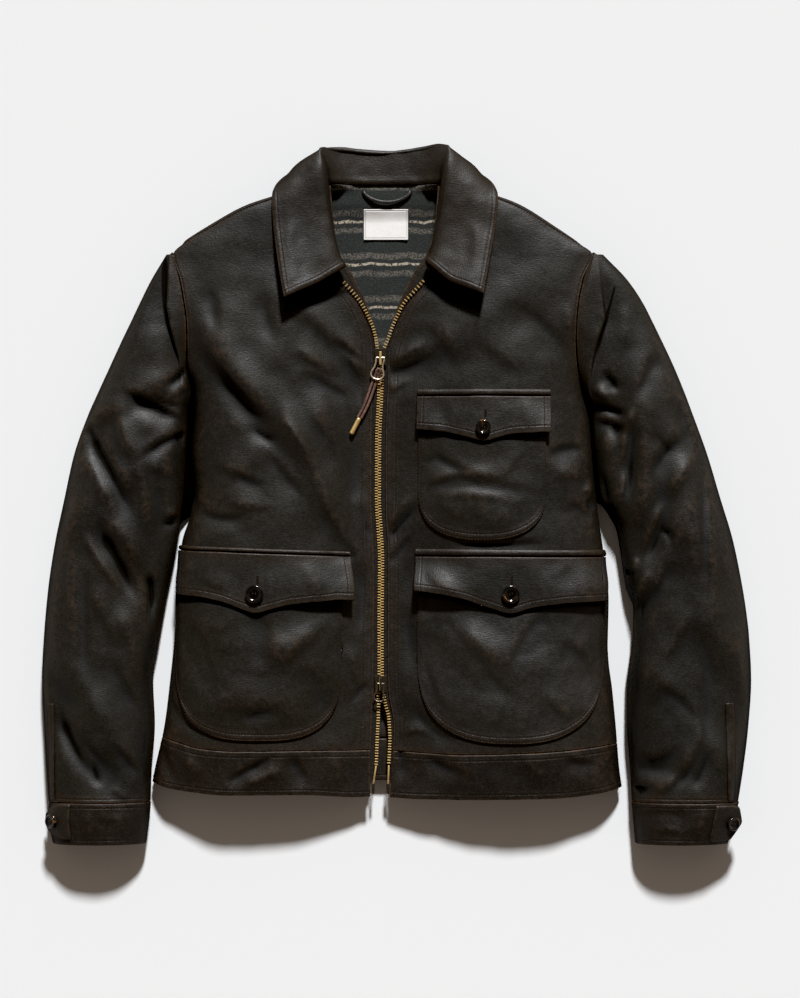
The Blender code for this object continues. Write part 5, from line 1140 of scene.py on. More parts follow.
def makeBack():
    # The back lies on the floor, turns up to the side seams and rolls over both shoulders.
    steps, turns = 4, 6
    knots = backTop.key
    middle = (knots[2:-2] - knots[1]) / (knots[-2] - knots[1])
    x, y, z = backRow((forms["backSeam"] + draft["seam"] / 2,) + sideRows + armholeRows, steps, middle)
    rows = list(grid(x, y, z + neckLift(x, y)))
    slow = 1 - np.cos(math.pi / 2 / steps * np.arange(steps))
    places = np.concatenate((lerp(knots[0], knots[1], slow), knots[1:-1],
                             lerp(knots[-1], knots[-2], slow)[::-1]))
    seamY = backTop.read("y", places) + draft["seam"] + 0.1
    for end, inner, part in ((knots[0], knots[1], slice(0, steps)),
                             (knots[-1], knots[-2], slice(len(places) - steps, None))):
        first, second = (backTop.read("y", k) + 2 * draft["seam"] for k in (end, inner))
        seamY[part] = first + (second - first) * (places[part] - end) / (inner - end)
    turn = np.radians(backTop.read("turn", places))
    depth = backTop.read("depth", places)
    silhouette = seamY + depth * (1 - np.sin(turn))
    high = [table.read("sideZ", backTop.read("y", places)) for table in (leftFront, rightFront)]
    tall = np.where(places < forms["neckMiddle"], *high) / 2
    last = rows[-1].copy()
    for part in upperRows:
        py = lerp(last[:, 1], silhouette - forms["shoulderTurn"], part)
        px = lerp(last[:, 0], places, ease(part))
        rows.append(grid(px, py, neckLift(px, py)))
    for step in range(turns + 1):
        angle = turn * step / turns
        reach = np.where(angle < math.pi / 2, forms["shoulderTurn"],
                         np.minimum(depth, forms["shoulderTurn"]))
        py = silhouette - reach * (1 - np.sin(angle))
        pz = tall * (1 - np.cos(angle)) + neckLift(places, py) * (1 - angle / math.pi)
        rows.append(grid(places, py, pz))
    for row in rows[-4 - turns:]:
        for edge, table, way in ((0, leftFront, 1), (-1, rightFront, -1)):
            seamX = float(table.read("sideX", min(row[edge][1], 257.0)))
            if row is not rows[-1]:
                seamX += way * 2 * draft["seam"]
            near = row[steps if edge == 0 else -1 - steps][0]
            for k, place in enumerate(lerp(seamX, near, slow)):
                row[k if edge == 0 else -1 - k][0] = place
    points = refined(np.array(rows)[::-1], 5, 4)
    x, y, z = np.moveaxis(points, 2, 0)
    inside = ease((x + 205) / 40) * ease((190 - x) / 40)
    lift = (creased(x, y, creases["back"]) + (rough(x, y, 40, 21) + 1) * 0.45) * inside
    points[:, :, 2] += np.maximum(lift, 0) * ease((9 - z) / 8) + pushedUp(x, y)
    normals = facing(points, False, False)
    rolled = points[0, :, 2] > 12
    normals[0] = np.where(rolled[:, None], (0, 0, 1.0), (0, 0, -1.0))
    look = {"first": (2.0,), "last": (2.0,), "top": (2.5, 14.0), "rub": 0.2}
    waxedPiece("back", points, body["wall"], (510, 670, ["floor"], 267000), look, up=False,
               normals=normals)


def makeBackBand():
    top = forms["backSeam"] - draft["seam"] / 2
    t = uneven(44, 5)
    levels = lerp(top, forms["backHem"], t)
    x, y, z = backRow(levels, 6, np.linspace(0, 1, 62)[1:-1])
    y = y - forms["backBow"] * ((x + 10) / 245) ** 2 * t[:, None]
    z = z + np.maximum(rough(x, y, 22, 23), 0) * 0.8 * ease((7 - z) / 6) + pushedUp(x, y)
    waxedPiece("band_back", grid(x, y, z), body["bandWall"], (515, 46, ["floor"]),
               {"bottom": (5.5,), "rub": 0.2}, up=False)


arm = {"wall": 1.8, "cuffWall": 2.4, "top": 257.0, "bottom": -322.5,
       "headRise": 2.6, "touch": {"left": (-30.0, 118.0), "right": (-14.0, 112.0)}}


def makeSleeve(side):
    table = sleeves[side]
    y = lerp(arm["top"], arm["bottom"], uneven(arm["top"] - arm["bottom"], draft["cell"]))
    x = sleeveAcross(table, y)
    yy = y[:, None] + x * 0
    points = grid(x, yy, sleeveHeight(table, x, yy, creases[side + "Sleeve"]))
    # the head reaches up to the shoulder's corner
    roll = sleeveRoll(table, y)[0][:, None]
    head = np.clip(1 - (table.read("innerX", y)[:, None] - x) / roll, 0, 1)
    points[:, :, 1] += arm["headRise"] * head * ease((yy - 240) / 17)
    # painted shadow in the recess beside the head, darker and glossless, and the sleeve darker and
    # rougher towards the cuff
    dark = 0.5 * ease((-110 - yy) / 120) + creased(x, yy, creases[side + "Recess"])
    # and there it turns down to the floor
    ends = [points[0] + (0, 0.25 * k, 0) for k in (3, 2, 1)]
    for row, part in zip(ends, (0.0, 0.4, 0.75)):
        row[:, 2] = lerp(arm["wall"], row[:, 2], part)
    points, dark = np.concatenate((ends, points)), np.concatenate((dark[:3] + 0.9, dark))
    cut = (175, 600, ["cloth_sleeve_under_" + side], 80000)
    waxedPiece("sleeve_top_" + side, points, arm["wall"], cut, {"bottom": (4.0,), "shine": 0.9},
               dark=dark)


def makeUnderSleeve(side, darkSpeckAndShade):
    table = sleeves[side]
    y = lerp(arm["top"], arm["bottom"], uneven(arm["top"] - arm["bottom"], 5.5))
    outerX, innerX = table.read("outerX", y), table.read("innerX", y)
    innerZ = np.where(y > 95, underHeight(y) + draft["seam"], table.read("innerZ", y))
    x, z = underAcross(outerX, table.read("outerZ", y), innerX, innerZ, 6,
                       np.linspace(0, 1, 18)[1:-1])
    yy = y[:, None] + x * 0
    part = (x - outerX[:, None]) / (innerX - outerX)[:, None]
    inside = ease(part / 0.22) * ease((1 - part) / 0.22)
    lift = creased(x, yy, creases["under"]) + (rough(x, yy, 30, 31) + 1) * 0.5
    points = grid(x, yy, z + np.maximum(lift, 0) * inside)
    # low down it bulges against the body, so that no floor shows between the two
    low, high = arm["touch"][side]
    near = (ease((y - low) / 12) * ease((high - y) / 12))[:, None]
    gap = np.abs(fronts[side].read("sideX", y) - innerX)[:, None] + 2.0
    down = 1 - z[:, -7:] / np.maximum(z[:, -1:], 0.1)
    bulge = np.where(down < 0.72, ease(down / 0.72), 1 - ease((down - 0.72) / 0.28))
    gap = gap + np.abs(points[:, -7:, 0] - innerX[:, None])
    points[:, -7:, 0] -= away[side] * near * gap * bulge
    # painted shade in the crevice: the bulge is darkened, and its darkest faces take the near-black
    # glossless finish
    dark = np.concatenate((x[:, :-7] * 0, near * ease(bulge * 2) * 2.5), axis=1)
    piece = waxedPiece("sleeve_under_" + side, points, arm["wall"], (150, 590, ["floor"], 70000),
                       {"bottom": (4.0,)}, up=False, dark=dark)
    piece.data.materials.append(darkSpeckAndShade)
    depth = np.zeros(len(piece.data.vertices))
    piece.data.attributes["crestAndShade"].data.foreach_get("value", depth)
    for face in piece.data.polygons:
        face.material_index = int(depth[list(face.vertices)].mean() < -1.0)


def makeCuff(side):
    table = cuffs[side]
    y = lerp(table.key[-1], table.key[0], uneven(44, 2.6))
    topX = sleeveAcross(table, y)
    yy = y[:, None] + topX * 0
    topZ = sleeveHeight(table, topX, yy, creases[side + "Cuff"])
    x, z = underAcross(table.read("outerX", y), table.read("outerZ", y), table.read("innerX", y),
                       table.read("innerZ", y), 6, np.linspace(0, 1, 16)[1:-1])
    x, z = x[:, 1:-1][:, ::-1], z[:, 1:-1][:, ::-1]
    points = np.concatenate((grid(topX, yy, topZ), grid(x, y[:, None] + x * 0, z)), axis=1)
    waxedPiece("cuff_" + side, points, arm["cuffWall"], (265, 46, ["floor"]),
               {"top": (5.0,), "bottom": (5.0,), "rub": 0.5, **worn["band"]}, ring=True)


# The pointed end that buttons over each cuff: the cuff's own column, how far it stands out and up
# there, and its half width
tabs = {"left": {"middle": -342.0, "rows": ((4, 0, 0, 18.5), (3, 0, 0, 18.5), (2, 0, 0, 14.5),
                                            (1, 0, 0, 8.5), (0, 0, 0, 1.0)), "button": 1.65},
        "right": {"middle": -344.0, "rows": ((4, 0, 0, 19.5), (3, 0, 0.4, 19.5),
                                             (2, 1.0, 2.5, 18.5), (1, 1.5, 8.0, 15.0),
                                             (0, 6.2, 13.0, 1.0)), "button": 2.0},
        "columns": (0.0, 0.015, 0.06, 0.14, 0.26), "wall": 2.0, "clear": 0.9}


def makeTab(side):
    table = cuffs[side]
    coarse = []
    for column, out, up, half in tabs[side]["rows"]:
        y = tabs[side]["middle"] + np.array((-1, -0.5, 0, 0.5, 1)) * half
        outerX, innerX = table.read("outerX", y), table.read("innerX", y)
        roll, drop = sleeveRoll(table, y)
        x = outerX + (innerX - outerX - roll - drop) * tabs["columns"][column]
        coarse.append(grid(x + out * away[side], y, sleeveHeight(table, x, y) + up))
    coarse = np.array(coarse)
    normals = square(coarse)
    normals *= np.sign(normals[0, 2, 2])
    outer = refined(coarse + normals * (tabs["clear"] + tabs["wall"]), 8, 5)
    fine = unit(refined(normals, 8, 5))
    waxedPiece("cuff_end_" + side, outer, tabs["wall"], (39, 45, ["cloth_cuff_" + side], 1250),
               {"bottom": (4.5,), "rub": 0.4, "shade": 0.8}, normals=fine)
    at = tabs[side]["button"] * 8
    row, part = int(at), at - int(at)
    middle = outer.shape[1] // 2
    return (lerp(outer[row][middle], outer[row + 1][middle], part),
            unit(lerp(fine[row][middle], fine[row + 1][middle], part)))


plackets = {"left": ((-368.0, -218), (-360.5, -218), (-359.5, -320), (-364.5, -320)),
            "right": ((348.5, -217), (358.5, -217), (359.0, -320), (351.0, -320)), "wall": 1.6}


def patch(corners, s, t):
    # the places between four corners, given round from the first
    a, b, c, d = np.array(corners, float)
    s, t = s[None, :, None], t[:, None, None]
    flat = lerp(lerp(a, b, s), lerp(d, c, s), t)
    return flat[:, :, 0], flat[:, :, 1]


def makePlacket(side):
    x, y = patch(plackets[side], np.linspace(0, 1, 7), uneven(100, 3.0))
    table = sleeves[side]
    points = onPanel(lambda px, py: sleeveHeight(table, px, py, creases[side + "Sleeve"]), x, y,
                     draft["layer"] + plackets["wall"] + x * 0)
    waxedPiece("placket_" + side, points, plackets["wall"],
               (11, 102, ["cloth_sleeve_top_" + side]), {"rub": 0.2})


pocketsAt = {  # middle, half width, end of the straight sides, bottom, squareness, top, fullness
    "lower_left": ("left", -143.8, 86.8, -170.0, -256.7, 3.0, -84.0, 3.0, 0.9),
    "lower_right": ("right", 121.8, 97.2, -172.0, -259.9, 2.6, -84.0, 3.0, 1.35),
    "chest": ("right", 92.0, 66.8, 8.0, -44.7, 2.6, 84.0, 3.0, 1.05)}
# top corners of each flap, then its lower edge from left to right, and how far that edge stands
# up at its left, all along and at its right
flapsAt = {
    "lower_left": ("left", (-226.8, -56.2), (-46.6, -62.6),
                   ((-227.4, -102.9), (-204, -105.5), (-180, -111), (-161, -117.8),
                    (-146.5, -121.7), (-132, -118.2), (-110, -112.5), (-85, -109.8),
                    (-47.1, -109.3)), (1.5, 0.8, 9.0)),
    "lower_right": ("right", (22.0, -62.4), (220.2, -63.4),
                    ((24.4, -99.1), (37, -100.9), (58, -103.9), (80, -109.2), (101, -116.5),
                     (121.9, -122.1), (143, -116.6), (164, -112.9), (188, -110.8),
                     (218.0, -109.3)), (12.0, 1.0, 6.0)),
    "chest": ("right", (24.2, 106.6), (163.9, 106.6),
              ((24.0, 71.6), (40, 70.6), (57, 68.4), (74, 64.4), (93.9, 59.9), (108, 63.2),
               (121, 66.4), (140, 67.7), (162.2, 67.7)), (2.5, 0.8, 4.5))}
weltsAt = {
    "lower_left": ("left", (-225.8, -50.4), (-47.1, -56.7), (-46.8, -62.2), (-226.6, -55.8)),
    "lower_right": ("right", (22.0, -53.6), (220.5, -55.2), (221.4, -63.0), (22.0, -62.0)),
    "chest": ("right", (24.5, 114.8), (163.9, 114.8), (163.9, 107.0), (24.3, 107.0))}
layers = {"wall": 1.8, "flapBase": 2.6, "flapWall": 2.0, "weltWall": 3.4}


def makePocket(name):
    side, middle, half, straight, bottom, square, top, full, shine = pocketsAt[name]
    s = np.sin(np.linspace(-1, 1, int(2.3 * half / draft["cell"])) * math.pi / 2)
    s = np.unique(np.concatenate((s, (-0.9975, 0.9975))))
    low = straight - (straight - bottom) * (1 - np.abs(s) ** square) ** (1 / square)
    t = uneven(top - bottom, draft["cell"])
    y = lerp(top, low[None, :], t[:, None])
    x = middle + half * s[None, :] + y * 0
    puff = (1 - np.abs(s) ** 2) * ease((top - 38 - y) / 40) * ease((y - bottom) / 40) * full
    inside = ease((1 - np.abs(s)) / 0.10) * ease((1 - t[:, None]) / 0.08)
    own = (creased(x, y, creases["pocket_" + name]) + rough(x, y, 22, 41) * 0.55
           + rough(x, y, 9, 42) * 0.28) * inside
    edge = np.minimum((1 - np.abs(s)) * half, (1 - t[:, None]) * (top - low[None, :]))
    rim = np.exp(-((edge - 4.4) / 3.4) ** 2) * 0.35
    lift = draft["layer"] + layers["wall"] + puff + np.maximum(own, -1.7) + rim
    points = onFront(side, x, y, lift)
    # never waxed off nor rubbed where the flap covers it
    # painted shadow: darker and glossless on the pocket just below the flap's edge and under it
    lower = np.array(flapsAt[name][3])
    dark = 2.8 * ease((y + 9 - np.interp(x, lower[:, 0], lower[:, 1])) / 8)
    wide, long = 2 * half + 6, top - bottom + 6
    look = {"first": (2.0, 7.0), "last": (2.0, 7.0), "bottom": (2.0, 7.0), "rub": 1.15,
            "shine": shine}
    waxedPiece("pocket_" + name, points, layers["wall"],
               (wide, long, ["cloth_front_" + side], 0.93 * wide * long), look, dark=dark)


def flapLift(name, x, y):
    topLeft, _, lower, lifts = flapsAt[name][1:]
    part = (x - lower[0][0]) / (lower[-1][0] - lower[0][0])
    level = lifts[0] * ease(1 - part * 2.2) + lifts[2] * ease((part - 0.545) * 2.2) + lifts[1]
    down = (topLeft[1] - y) / (topLeft[1] - lower[0][1])
    return level * ease(down)


def flapTop(name, x, y):
    # the flap's outer face
    side = flapsAt[name][0]
    lift = layers["flapBase"] + layers["flapWall"] + flapLift(name, x, y)
    lift = lift + rough(x, y, 18, 51) * 0.45 + creased(x, y, creases["flap_" + name])
    return onFront(side, x, y, lift)


def makeFlap(name):
    topLeft, topRight, lower = flapsAt[name][1:4]
    wide = topRight[0] - topLeft[0]
    s = uneven(wide, draft["cell"])
    edge = evenly(curved(lower, 12), 300)
    along = np.concatenate(([0], np.cumsum(np.linalg.norm(np.diff(edge, axis=0), axis=1))))
    bottom = np.stack([np.interp(s * along[-1], along, edge[:, k]) for k in (0, 1)], axis=-1)
    top = lerp(np.array(topLeft), np.array(topRight), s[:, None])
    t = uneven(46, 2.6)[:, None, None]
    flat = lerp(top[None], bottom[None], t)
    points = flapTop(name, flat[:, :, 0], flat[:, :, 1])
    cut = (wide + 4, 60, ["cloth_pocket_" + name], 0.82 * (wide + 4) * 60)
    waxedPiece("flap_" + name, points, layers["flapWall"], cut,
               {"first": (7.0,), "last": (7.0,), "bottom": (7.2,), "rub": 0.5, "shine": 1.08})


def makeWelt(name):
    side, *corners = weltsAt[name]
    wide = corners[1][0] - corners[0][0]
    t = np.linspace(0, 1, 9)
    x, y = patch(corners, uneven(wide, draft["cell"]), t)
    arch = np.sin(np.clip(t[:, None], 0.02, 0.98) * math.pi) ** 0.5
    lift = draft["layer"] + 1.0 + (layers["weltWall"] - 1.0) * arch + rough(x, y, 9, 61) * 0.3
    points = onFront(side, x, y, lift)
    waxedPiece("welt_" + name, points, 1.0,
               (wide, 10, ["cloth_front_" + side], 0.78 * wide * 10), {"rub": 0.6})


# One row for each station, from the wearer's right front round the neck to the left: the seam,
# the roll line, the middle of the leaf and its outer edge
collarStations = (
    ((-61.8, 238, 27.0), (-51.8, 243.5, 31.5), (-80.6, 226.0, 39.0), (-116.3, 209.8, 48.5)),
    ((-65.0, 255, 27.0), (-60.5, 258.0, 32.5), (-91.0, 241.5, 38.5), (-119.5, 225.0, 46.0)),
    ((-67.4, 275, 27.2), (-65.8, 279.0, 33.0), (-97.0, 265.0, 38.0), (-124.2, 254.0, 42.0)),
    ((-69.8, 297, 27.6), (-70.2, 304.0, 34.0), (-100.0, 295.0, 38.0), (-128.0, 284.0, 38.5)),
    ((-71.2, 316, 27.9), (-74.0, 332.0, 35.0), (-103.0, 322.5, 37.5), (-130.0, 312.0, 34.5)),
    ((-72.2, 332, 27.6), (-76.5, 352.0, 34.5), (-106.0, 339.0, 32.0), (-128.0, 327.5, 22.5)),
    ((-67.0, 333.2, 21.5), (-78.0, 367.5, 28.0), (-104.0, 352.0, 19.5), (-117.0, 338.5, 7.5)),
    ((-58.0, 333.0, 15.5), (-69.0, 369.6, 17.5), (-88.0, 359.0, 7.5), (-99.0, 335.0, 1.4)),
    ((-47.0, 332.7, 12.0), (-52.0, 369.4, 10.5), (-60.0, 365.0, 4.2), (-70.0, 322.0, 1.3)),
    ((-30.0, 332.5, 10.6), (-33.0, 367.8, 7.8), (-35.0, 363.0, 3.2), (-40.0, 320.0, 1.3)),
    ((-11.0, 332.5, 10.4), (-12.0, 366.8, 7.4), (-12.0, 362.0, 3.0), (-12.0, 319.5, 1.3)),
    ((8.0, 332.5, 10.6), (10.0, 368.4, 7.8), (12.0, 363.5, 3.2), (17.0, 320.0, 1.3)),
    ((25.0, 332.7, 12.0), (29.0, 370.8, 10.5), (37.0, 366.0, 4.2), (47.0, 322.0, 1.3)),
    ((36.0, 333.0, 15.5), (46.5, 373.62, 17.5), (65.0, 361.0, 7.5), (77.0, 335.0, 1.4)),
    ((45.0, 333.2, 21.5), (56.0, 368.5, 28.0), (83.0, 351.5, 19.5), (96.0, 338.0, 7.5)),
    ((50.0, 332, 27.6), (54.0, 347.0, 34.5), (84.0, 338.0, 32.0), (107.0, 327.0, 22.5)),
    ((49.0, 316, 27.9), (51.4, 326.0, 35.0), (81.0, 319.5, 37.5), (108.7, 311.5, 34.5)),
    ((47.1, 297, 27.6), (48.0, 302.0, 34.0), (78.0, 292.5, 38.0), (105.8, 284.0, 38.5)),
    ((44.2, 275, 27.2), (43.6, 277.5, 33.0), (73.5, 265.0, 38.0), (100.8, 255.0, 42.0)),
    ((40.6, 255, 27.0), (38.5, 259.5, 32.5), (67.0, 244.0, 38.5), (95.8, 228.5, 46.0)),
    ((36.5, 238, 27.0), (32.5, 248.5, 31.5), (57.0, 228.0, 39.0), (92.8, 213.6, 48.5)))
collar = {"wall": 2.4, "bow": 2.0, "rise": 3.0, "tips": 9.5}


def collarSection(seam, roll, middle, edge):
    s, r, m, e = (np.array(p, float) for p in (seam, roll, middle, edge))
    up, leaf, stand = np.array((0, 0, 1.0)), m - r, r - s
    inward = unit(np.array((-leaf[0], -leaf[1], 0.0)))
    return [s, s + stand * 0.5 + inward * collar["bow"] - up * 0.4, r,
            r + leaf * 0.10 + up * collar["rise"] * 0.75, r + leaf * 0.36 + up * collar["rise"] * 0.8,
            m, (m + e) / 2 + up * 0.02 * e[2], e]


def makeCollar():
    coarse = np.array([collarSection(*station) for station in collarStations])
    # both points of the leaf stand well off the fronts
    along = np.abs(np.arange(len(coarse)) - 10.0)
    tips = collar["tips"] * ease((along - 6.2) / 3.8)
    coarse[:, :, 2] += tips[:, None] * np.array((0, 0, 0.3, 0.5, 0.75, 0.95, 1, 1))
    points = refined(coarse, 10, 8)
    normals = square(points)
    normals *= np.sign(normals[40, 44, 2])
    edge = rims(points, False).min(axis=2)
    inside = ease(edge / 9)
    x, y = points[:, :, 0], points[:, :, 1]
    shape = (rough(x, y, 26, 71) * 0.7 + rough(x, y, 11, 72) * 0.35
             + creased(x, y, creases["collar"])) * inside
    rim = np.exp(-((edge - 4.0) / 2.4) ** 2) * 0.45
    points = points + normals * (collar["wall"] / 2 + shape + rim)[:, :, None]
    look = {"last": (2.0, 6.5), "top": (6.0,), "bottom": (6.0,), "rub": 1.1, "brown": 0.45,
            "shine": 0.96}
    waxedPiece("collar", points, collar["wall"],
               (460, 90, ["cloth_front_left", "cloth_front_right"], 37500), look, normals=normals)


neck = {"liningWall": 1.2, "labelWall": 0.6, "facingWall": 1.2, "facingSink": 4.9,
        "facingHidden": 12.0, "loopFrom": (-33.0, 328.8), "loopSpan": 49.0, "loopSag": 13.0,
        "loopWidth": 4.4, "loopWall": 1.8, "loopRise": 2.4,
        "lining": ((331.2, -73, 51), (322, -90, 68), (290, -106, 82), (190, -106, 82),
                   (-254.8, -52, 16)),
        "label": (-33.2, 13.8, 306.4, 274.2)}


def makeLining():
    rows = np.array(neck["lining"])[::-1]
    t = np.concatenate((lerp(331.2, 190, np.linspace(0, 1, 48)),
                        lerp(190, -254.8, np.linspace(0, 1, 60))[1:]))
    left, right = (np.interp(t, rows[:, 0], rows[:, k]) for k in (1, 2))
    s = uneven(180, 3.4)
    x = between(left, right, s)
    y = t[:, None] + x * 0
    top = body["wall"] + draft["layer"] + neck["liningWall"]
    inside = ease(s / 0.06) * ease((1 - s) / 0.06) * ease((330.2 - y) / 14)
    z = neckLift(x, y) + neckCurl(x, y) + top + np.maximum(rough(x, y, 26, 81) + 0.4, 0) * 1.0 * inside
    z = z + creased(x, y, creases["lining"]) * inside
    piece = clothPiece("lining_wool", grid(x, y, z), neck["liningWall"], stripedWool(),
                       slot="lining", node="lining_back")
    laid(piece, 190, 590, ["cloth_back"], area=81000)


def makeLabel():
    left, right, high, low = neck["label"]
    x, y = np.meshgrid(lerp(left, right, uneven(47, 2.0)), lerp(high, low, uneven(32, 2.0)))
    z = (neckLift(x, y) + body["wall"] + 2 * draft["layer"] + neck["liningWall"] + 1.5
         + neck["labelWall"] + rough(x, y, 24, 91) * 0.5)
    piece = clothPiece("label_bare", grid(x, y, z), neck["labelWall"], labelCloth(), slot="label",
                       node="label")
    laid(piece, 49, 34, ["lining_wool"])


def labelCloth():
    # cream twill with one line of stitches round it
    finish = Finish("label_cream", roughness=0.8, sheen=0.1)
    rim = finish.edges()[1]
    mottle = finish.noise(160, 4, 0.6)
    tone = finish.mixed(finish.fade(mottle, 0.35, 0.7), (0.98, 0.95, 0.92), (0.95, 0.91, 0.87))
    sewn = finish.fade((rim - 1.6).size(), 0.9, 0.0)
    finish.colour(finish.mixed(sewn * 0.30, tone, (0.55, 0.50, 0.44)))
    ribs = finish.add("ShaderNodeTexWave", {"bands_direction": "X"},
                      {"Vector": finish.place(), "Scale": 320.0, "Distortion": 0.4})
    finish.bump(ribs * 0.12 - sewn * 0.4 + mottle * 0.2)
    return finish.material


def makeHangerLoop():
    part = np.linspace(0, 1, 41)
    arch = (4 * part * (1 - part)) ** 0.6
    x = neck["loopFrom"][0] + neck["loopSpan"] * part
    y = neck["loopFrom"][1] - neck["loopSag"] * arch
    z = (forms["fallClear"] + body["wall"] + 2 * draft["layer"] + neck["liningWall"]
         + neck["loopWall"] + neck["loopRise"] * arch)
    across = unit(np.stack(((2 * part - 1) * 0.9, part * 0 - 1.0), axis=-1)) * neck["loopWidth"]
    rows = []
    for way in np.linspace(0, 1, 9):
        bow = 0.5 * math.sin(way * math.pi)
        rows.append(grid(x + across[:, 0] * way, y + across[:, 1] * way, z + bow))
    finish = leather("loop_leather", (0.010, 0.008, 0.007), (0.026, 0.019, 0.014))
    piece = clothPiece("leather_hanger_loop", np.array(rows), neck["loopWall"], finish,
                       slot="leather", node="hanger_loop")
    laid(piece, 62, 10, ["cloth_collar"], area=310)


def makeFacing(side):
    table = fronts[side]
    y = lerp(330.0, 168.0, uneven(162, 3.0))
    outer = table.read("edgeX", y) + away[side] * neck["facingHidden"]
    inner = facingEdge.read(side + "X", y)
    x = between(outer, inner, uneven(24, 2.4))
    yy = y[:, None] + x * 0
    z = table.read("edgeZ", yy) - neck["facingSink"] + rough(x, yy, 12, 95) * 0.25
    waxedPiece("facing_" + side, grid(x, yy, z), neck["facingWall"],
               (24, 172, ["cloth_front_" + side], 0.9 * 24 * 172), {"last": (2.0,), "rub": 1.3})


zipper = {"tapeWall": 0.9, "tapeSink": 2.5, "tapeHidden": 5.0, "chainSink": 2.0, "half": 1.5,
          "pitch": 2.9, "from": -283.0, "to": 229.0, "tooth": (3.5, 1.15, 3.0),
          "end": (1.9, 20.0, 1.8), "endTop": -284.0, "endLow": -303.0}


def makeTape(side, finish):
    y = lerp(230.5, -303.0, uneven(533, 3.2))
    edge, chain = fronts[side].read("edgeX", y), zipLine.read(side + "X", y)
    near = chain + away[side] * (zipper["half"] + draft["seam"])
    edge = np.where(np.abs(edge - near) > 1, edge, near + away[side])
    s = np.array((0, 0.25, 0.5, 0.75, 1.0))
    hidden = edge + away[side] * zipper["tapeHidden"]
    x = np.concatenate((between(hidden, edge, s[:-1]), between(edge, near, s)), axis=1)
    yy = y[:, None] + x * 0
    points = grid(x, yy, fronts[side].read("edgeZ", yy) - zipper["tapeSink"])
    piece = clothPiece("woven_tape_" + side, points, zipper["tapeWall"], finish, slot="zip_tape",
                       node="zip_tape_" + side)
    laid(piece, 12, 545, ["cloth_front_" + side], area=0.78 * 12 * 545)


def block(name, size):
    # a box to be worked on, its sides in millimetres
    bpy.ops.mesh.primitive_cube_add(size=1, location=(0, 0, 0))
    box = bpy.context.object
    box.name = name
    box.scale = [side * draft["mm"] for side in size]
    bpy.ops.object.transform_apply(location=False, rotation=False, scale=True)
    return box


def editFacing(thing, axis):
    # goes into edit mode with only the faces that look along an axis selected
    bpy.ops.object.mode_set(mode="EDIT")
    bpy.ops.mesh.select_mode(type="FACE")
    bpy.ops.mesh.select_all(action="DESELECT")
    bpy.ops.object.mode_set(mode="OBJECT")
    for face in thing.data.polygons:
        face.select = face.normal[axis] > 0.9
    bpy.ops.object.mode_set(mode="EDIT")


def makeTooth():
    # one tooth along +X: a block with a narrower head and every edge broken
    tooth = block("tooth", zipper["tooth"])
    editFacing(tooth, 0)
    bpy.ops.mesh.extrude_region_move(TRANSFORM_OT_translate={"value": (0.0, 0, 0)})
    bpy.ops.transform.resize(value=(1, 0.72, 0.62))
    bpy.ops.transform.translate(value=(0.25 * (zipper["tooth"][1] * draft["mm"]), 0, 0))
    bpy.ops.mesh.select_all(action="SELECT")
    bpy.ops.mesh.bevel(offset=0.22 * draft["mm"], segments=1, affect="EDGES")
    bpy.ops.object.mode_set(mode="OBJECT")
    mesh = tooth.data
    vertices = np.array([v.co for v in mesh.vertices])
    faces = [tuple(face.vertices) for face in mesh.polygons]
    bpy.data.objects.remove(tooth)
    return vertices / draft["mm"], faces


def makeTeeth(side, tooth, finish):
    corners, faces = tooth
    start = zipper["from"] + (0 if side == "left" else zipper["pitch"] / 2)
    places = np.arange(start, zipper["to"], zipper["pitch"])
    x = zipLine.read(side + "X", places)
    slope = (zipLine.read(side + "X", places + 2) - zipLine.read(side + "X", places - 2)) / 4
    z = fronts[side].read("edgeZ", places) - zipper["chainSink"]
    vertices, allFaces = [], []
    for px, py, pz, lean in zip(x, places, z, slope):
        along = unit(np.array((1.0, -lean, 0.0))) * -away[side]
        square = np.array((-along[1], along[0], 0.0))
        placed = corners[:, :1] * along + corners[:, 1:2] * square + corners[:, 2:] * (0, 0, 1)
        count = len(corners) * len(vertices)
        vertices.append(placed + (px, py, pz))
        allFaces += [tuple(v + count for v in face) for face in faces]
    piece = newMesh("zip_teeth_" + side, inMetres(np.concatenate(vertices)), allFaces, finish,
                    smooth=False)
    belongs(piece, node="zip_chain_" + side)


def makeZipEnd(side, finish):
    # the plain bar below the last tooth, with every edge broken
    bar = block("zip_end_" + side, zipper["end"])
    bpy.ops.object.mode_set(mode="EDIT")
    bpy.ops.mesh.select_all(action="SELECT")
    bpy.ops.mesh.bevel(offset=0.5 * draft["mm"], segments=2, affect="EDGES")
    bpy.ops.object.mode_set(mode="OBJECT")
    top, low = (float(zipLine.read(side + "X", zipper[end])) for end in ("endTop", "endLow"))
    middle = zipper["endTop"] - 10.0
    height = float(fronts[side].read("edgeZ", middle)) - zipper["chainSink"]
    turn = Matrix.Rotation(math.atan2(low - top, zipper["endTop"] - zipper["endLow"]), 4, "Z")
    place = Vector(inMetres(((top + low) / 2, middle, height)))
    bar.data.transform(Matrix.Translation(place) @ turn)
    bar.data.shade_smooth()
    bar.data.set_sharp_from_angle(angle=math.radians(40))
    bar.data.materials.append(finish)
    bpy.ops.object.select_all(action="DESELECT")
    belongs(bar)


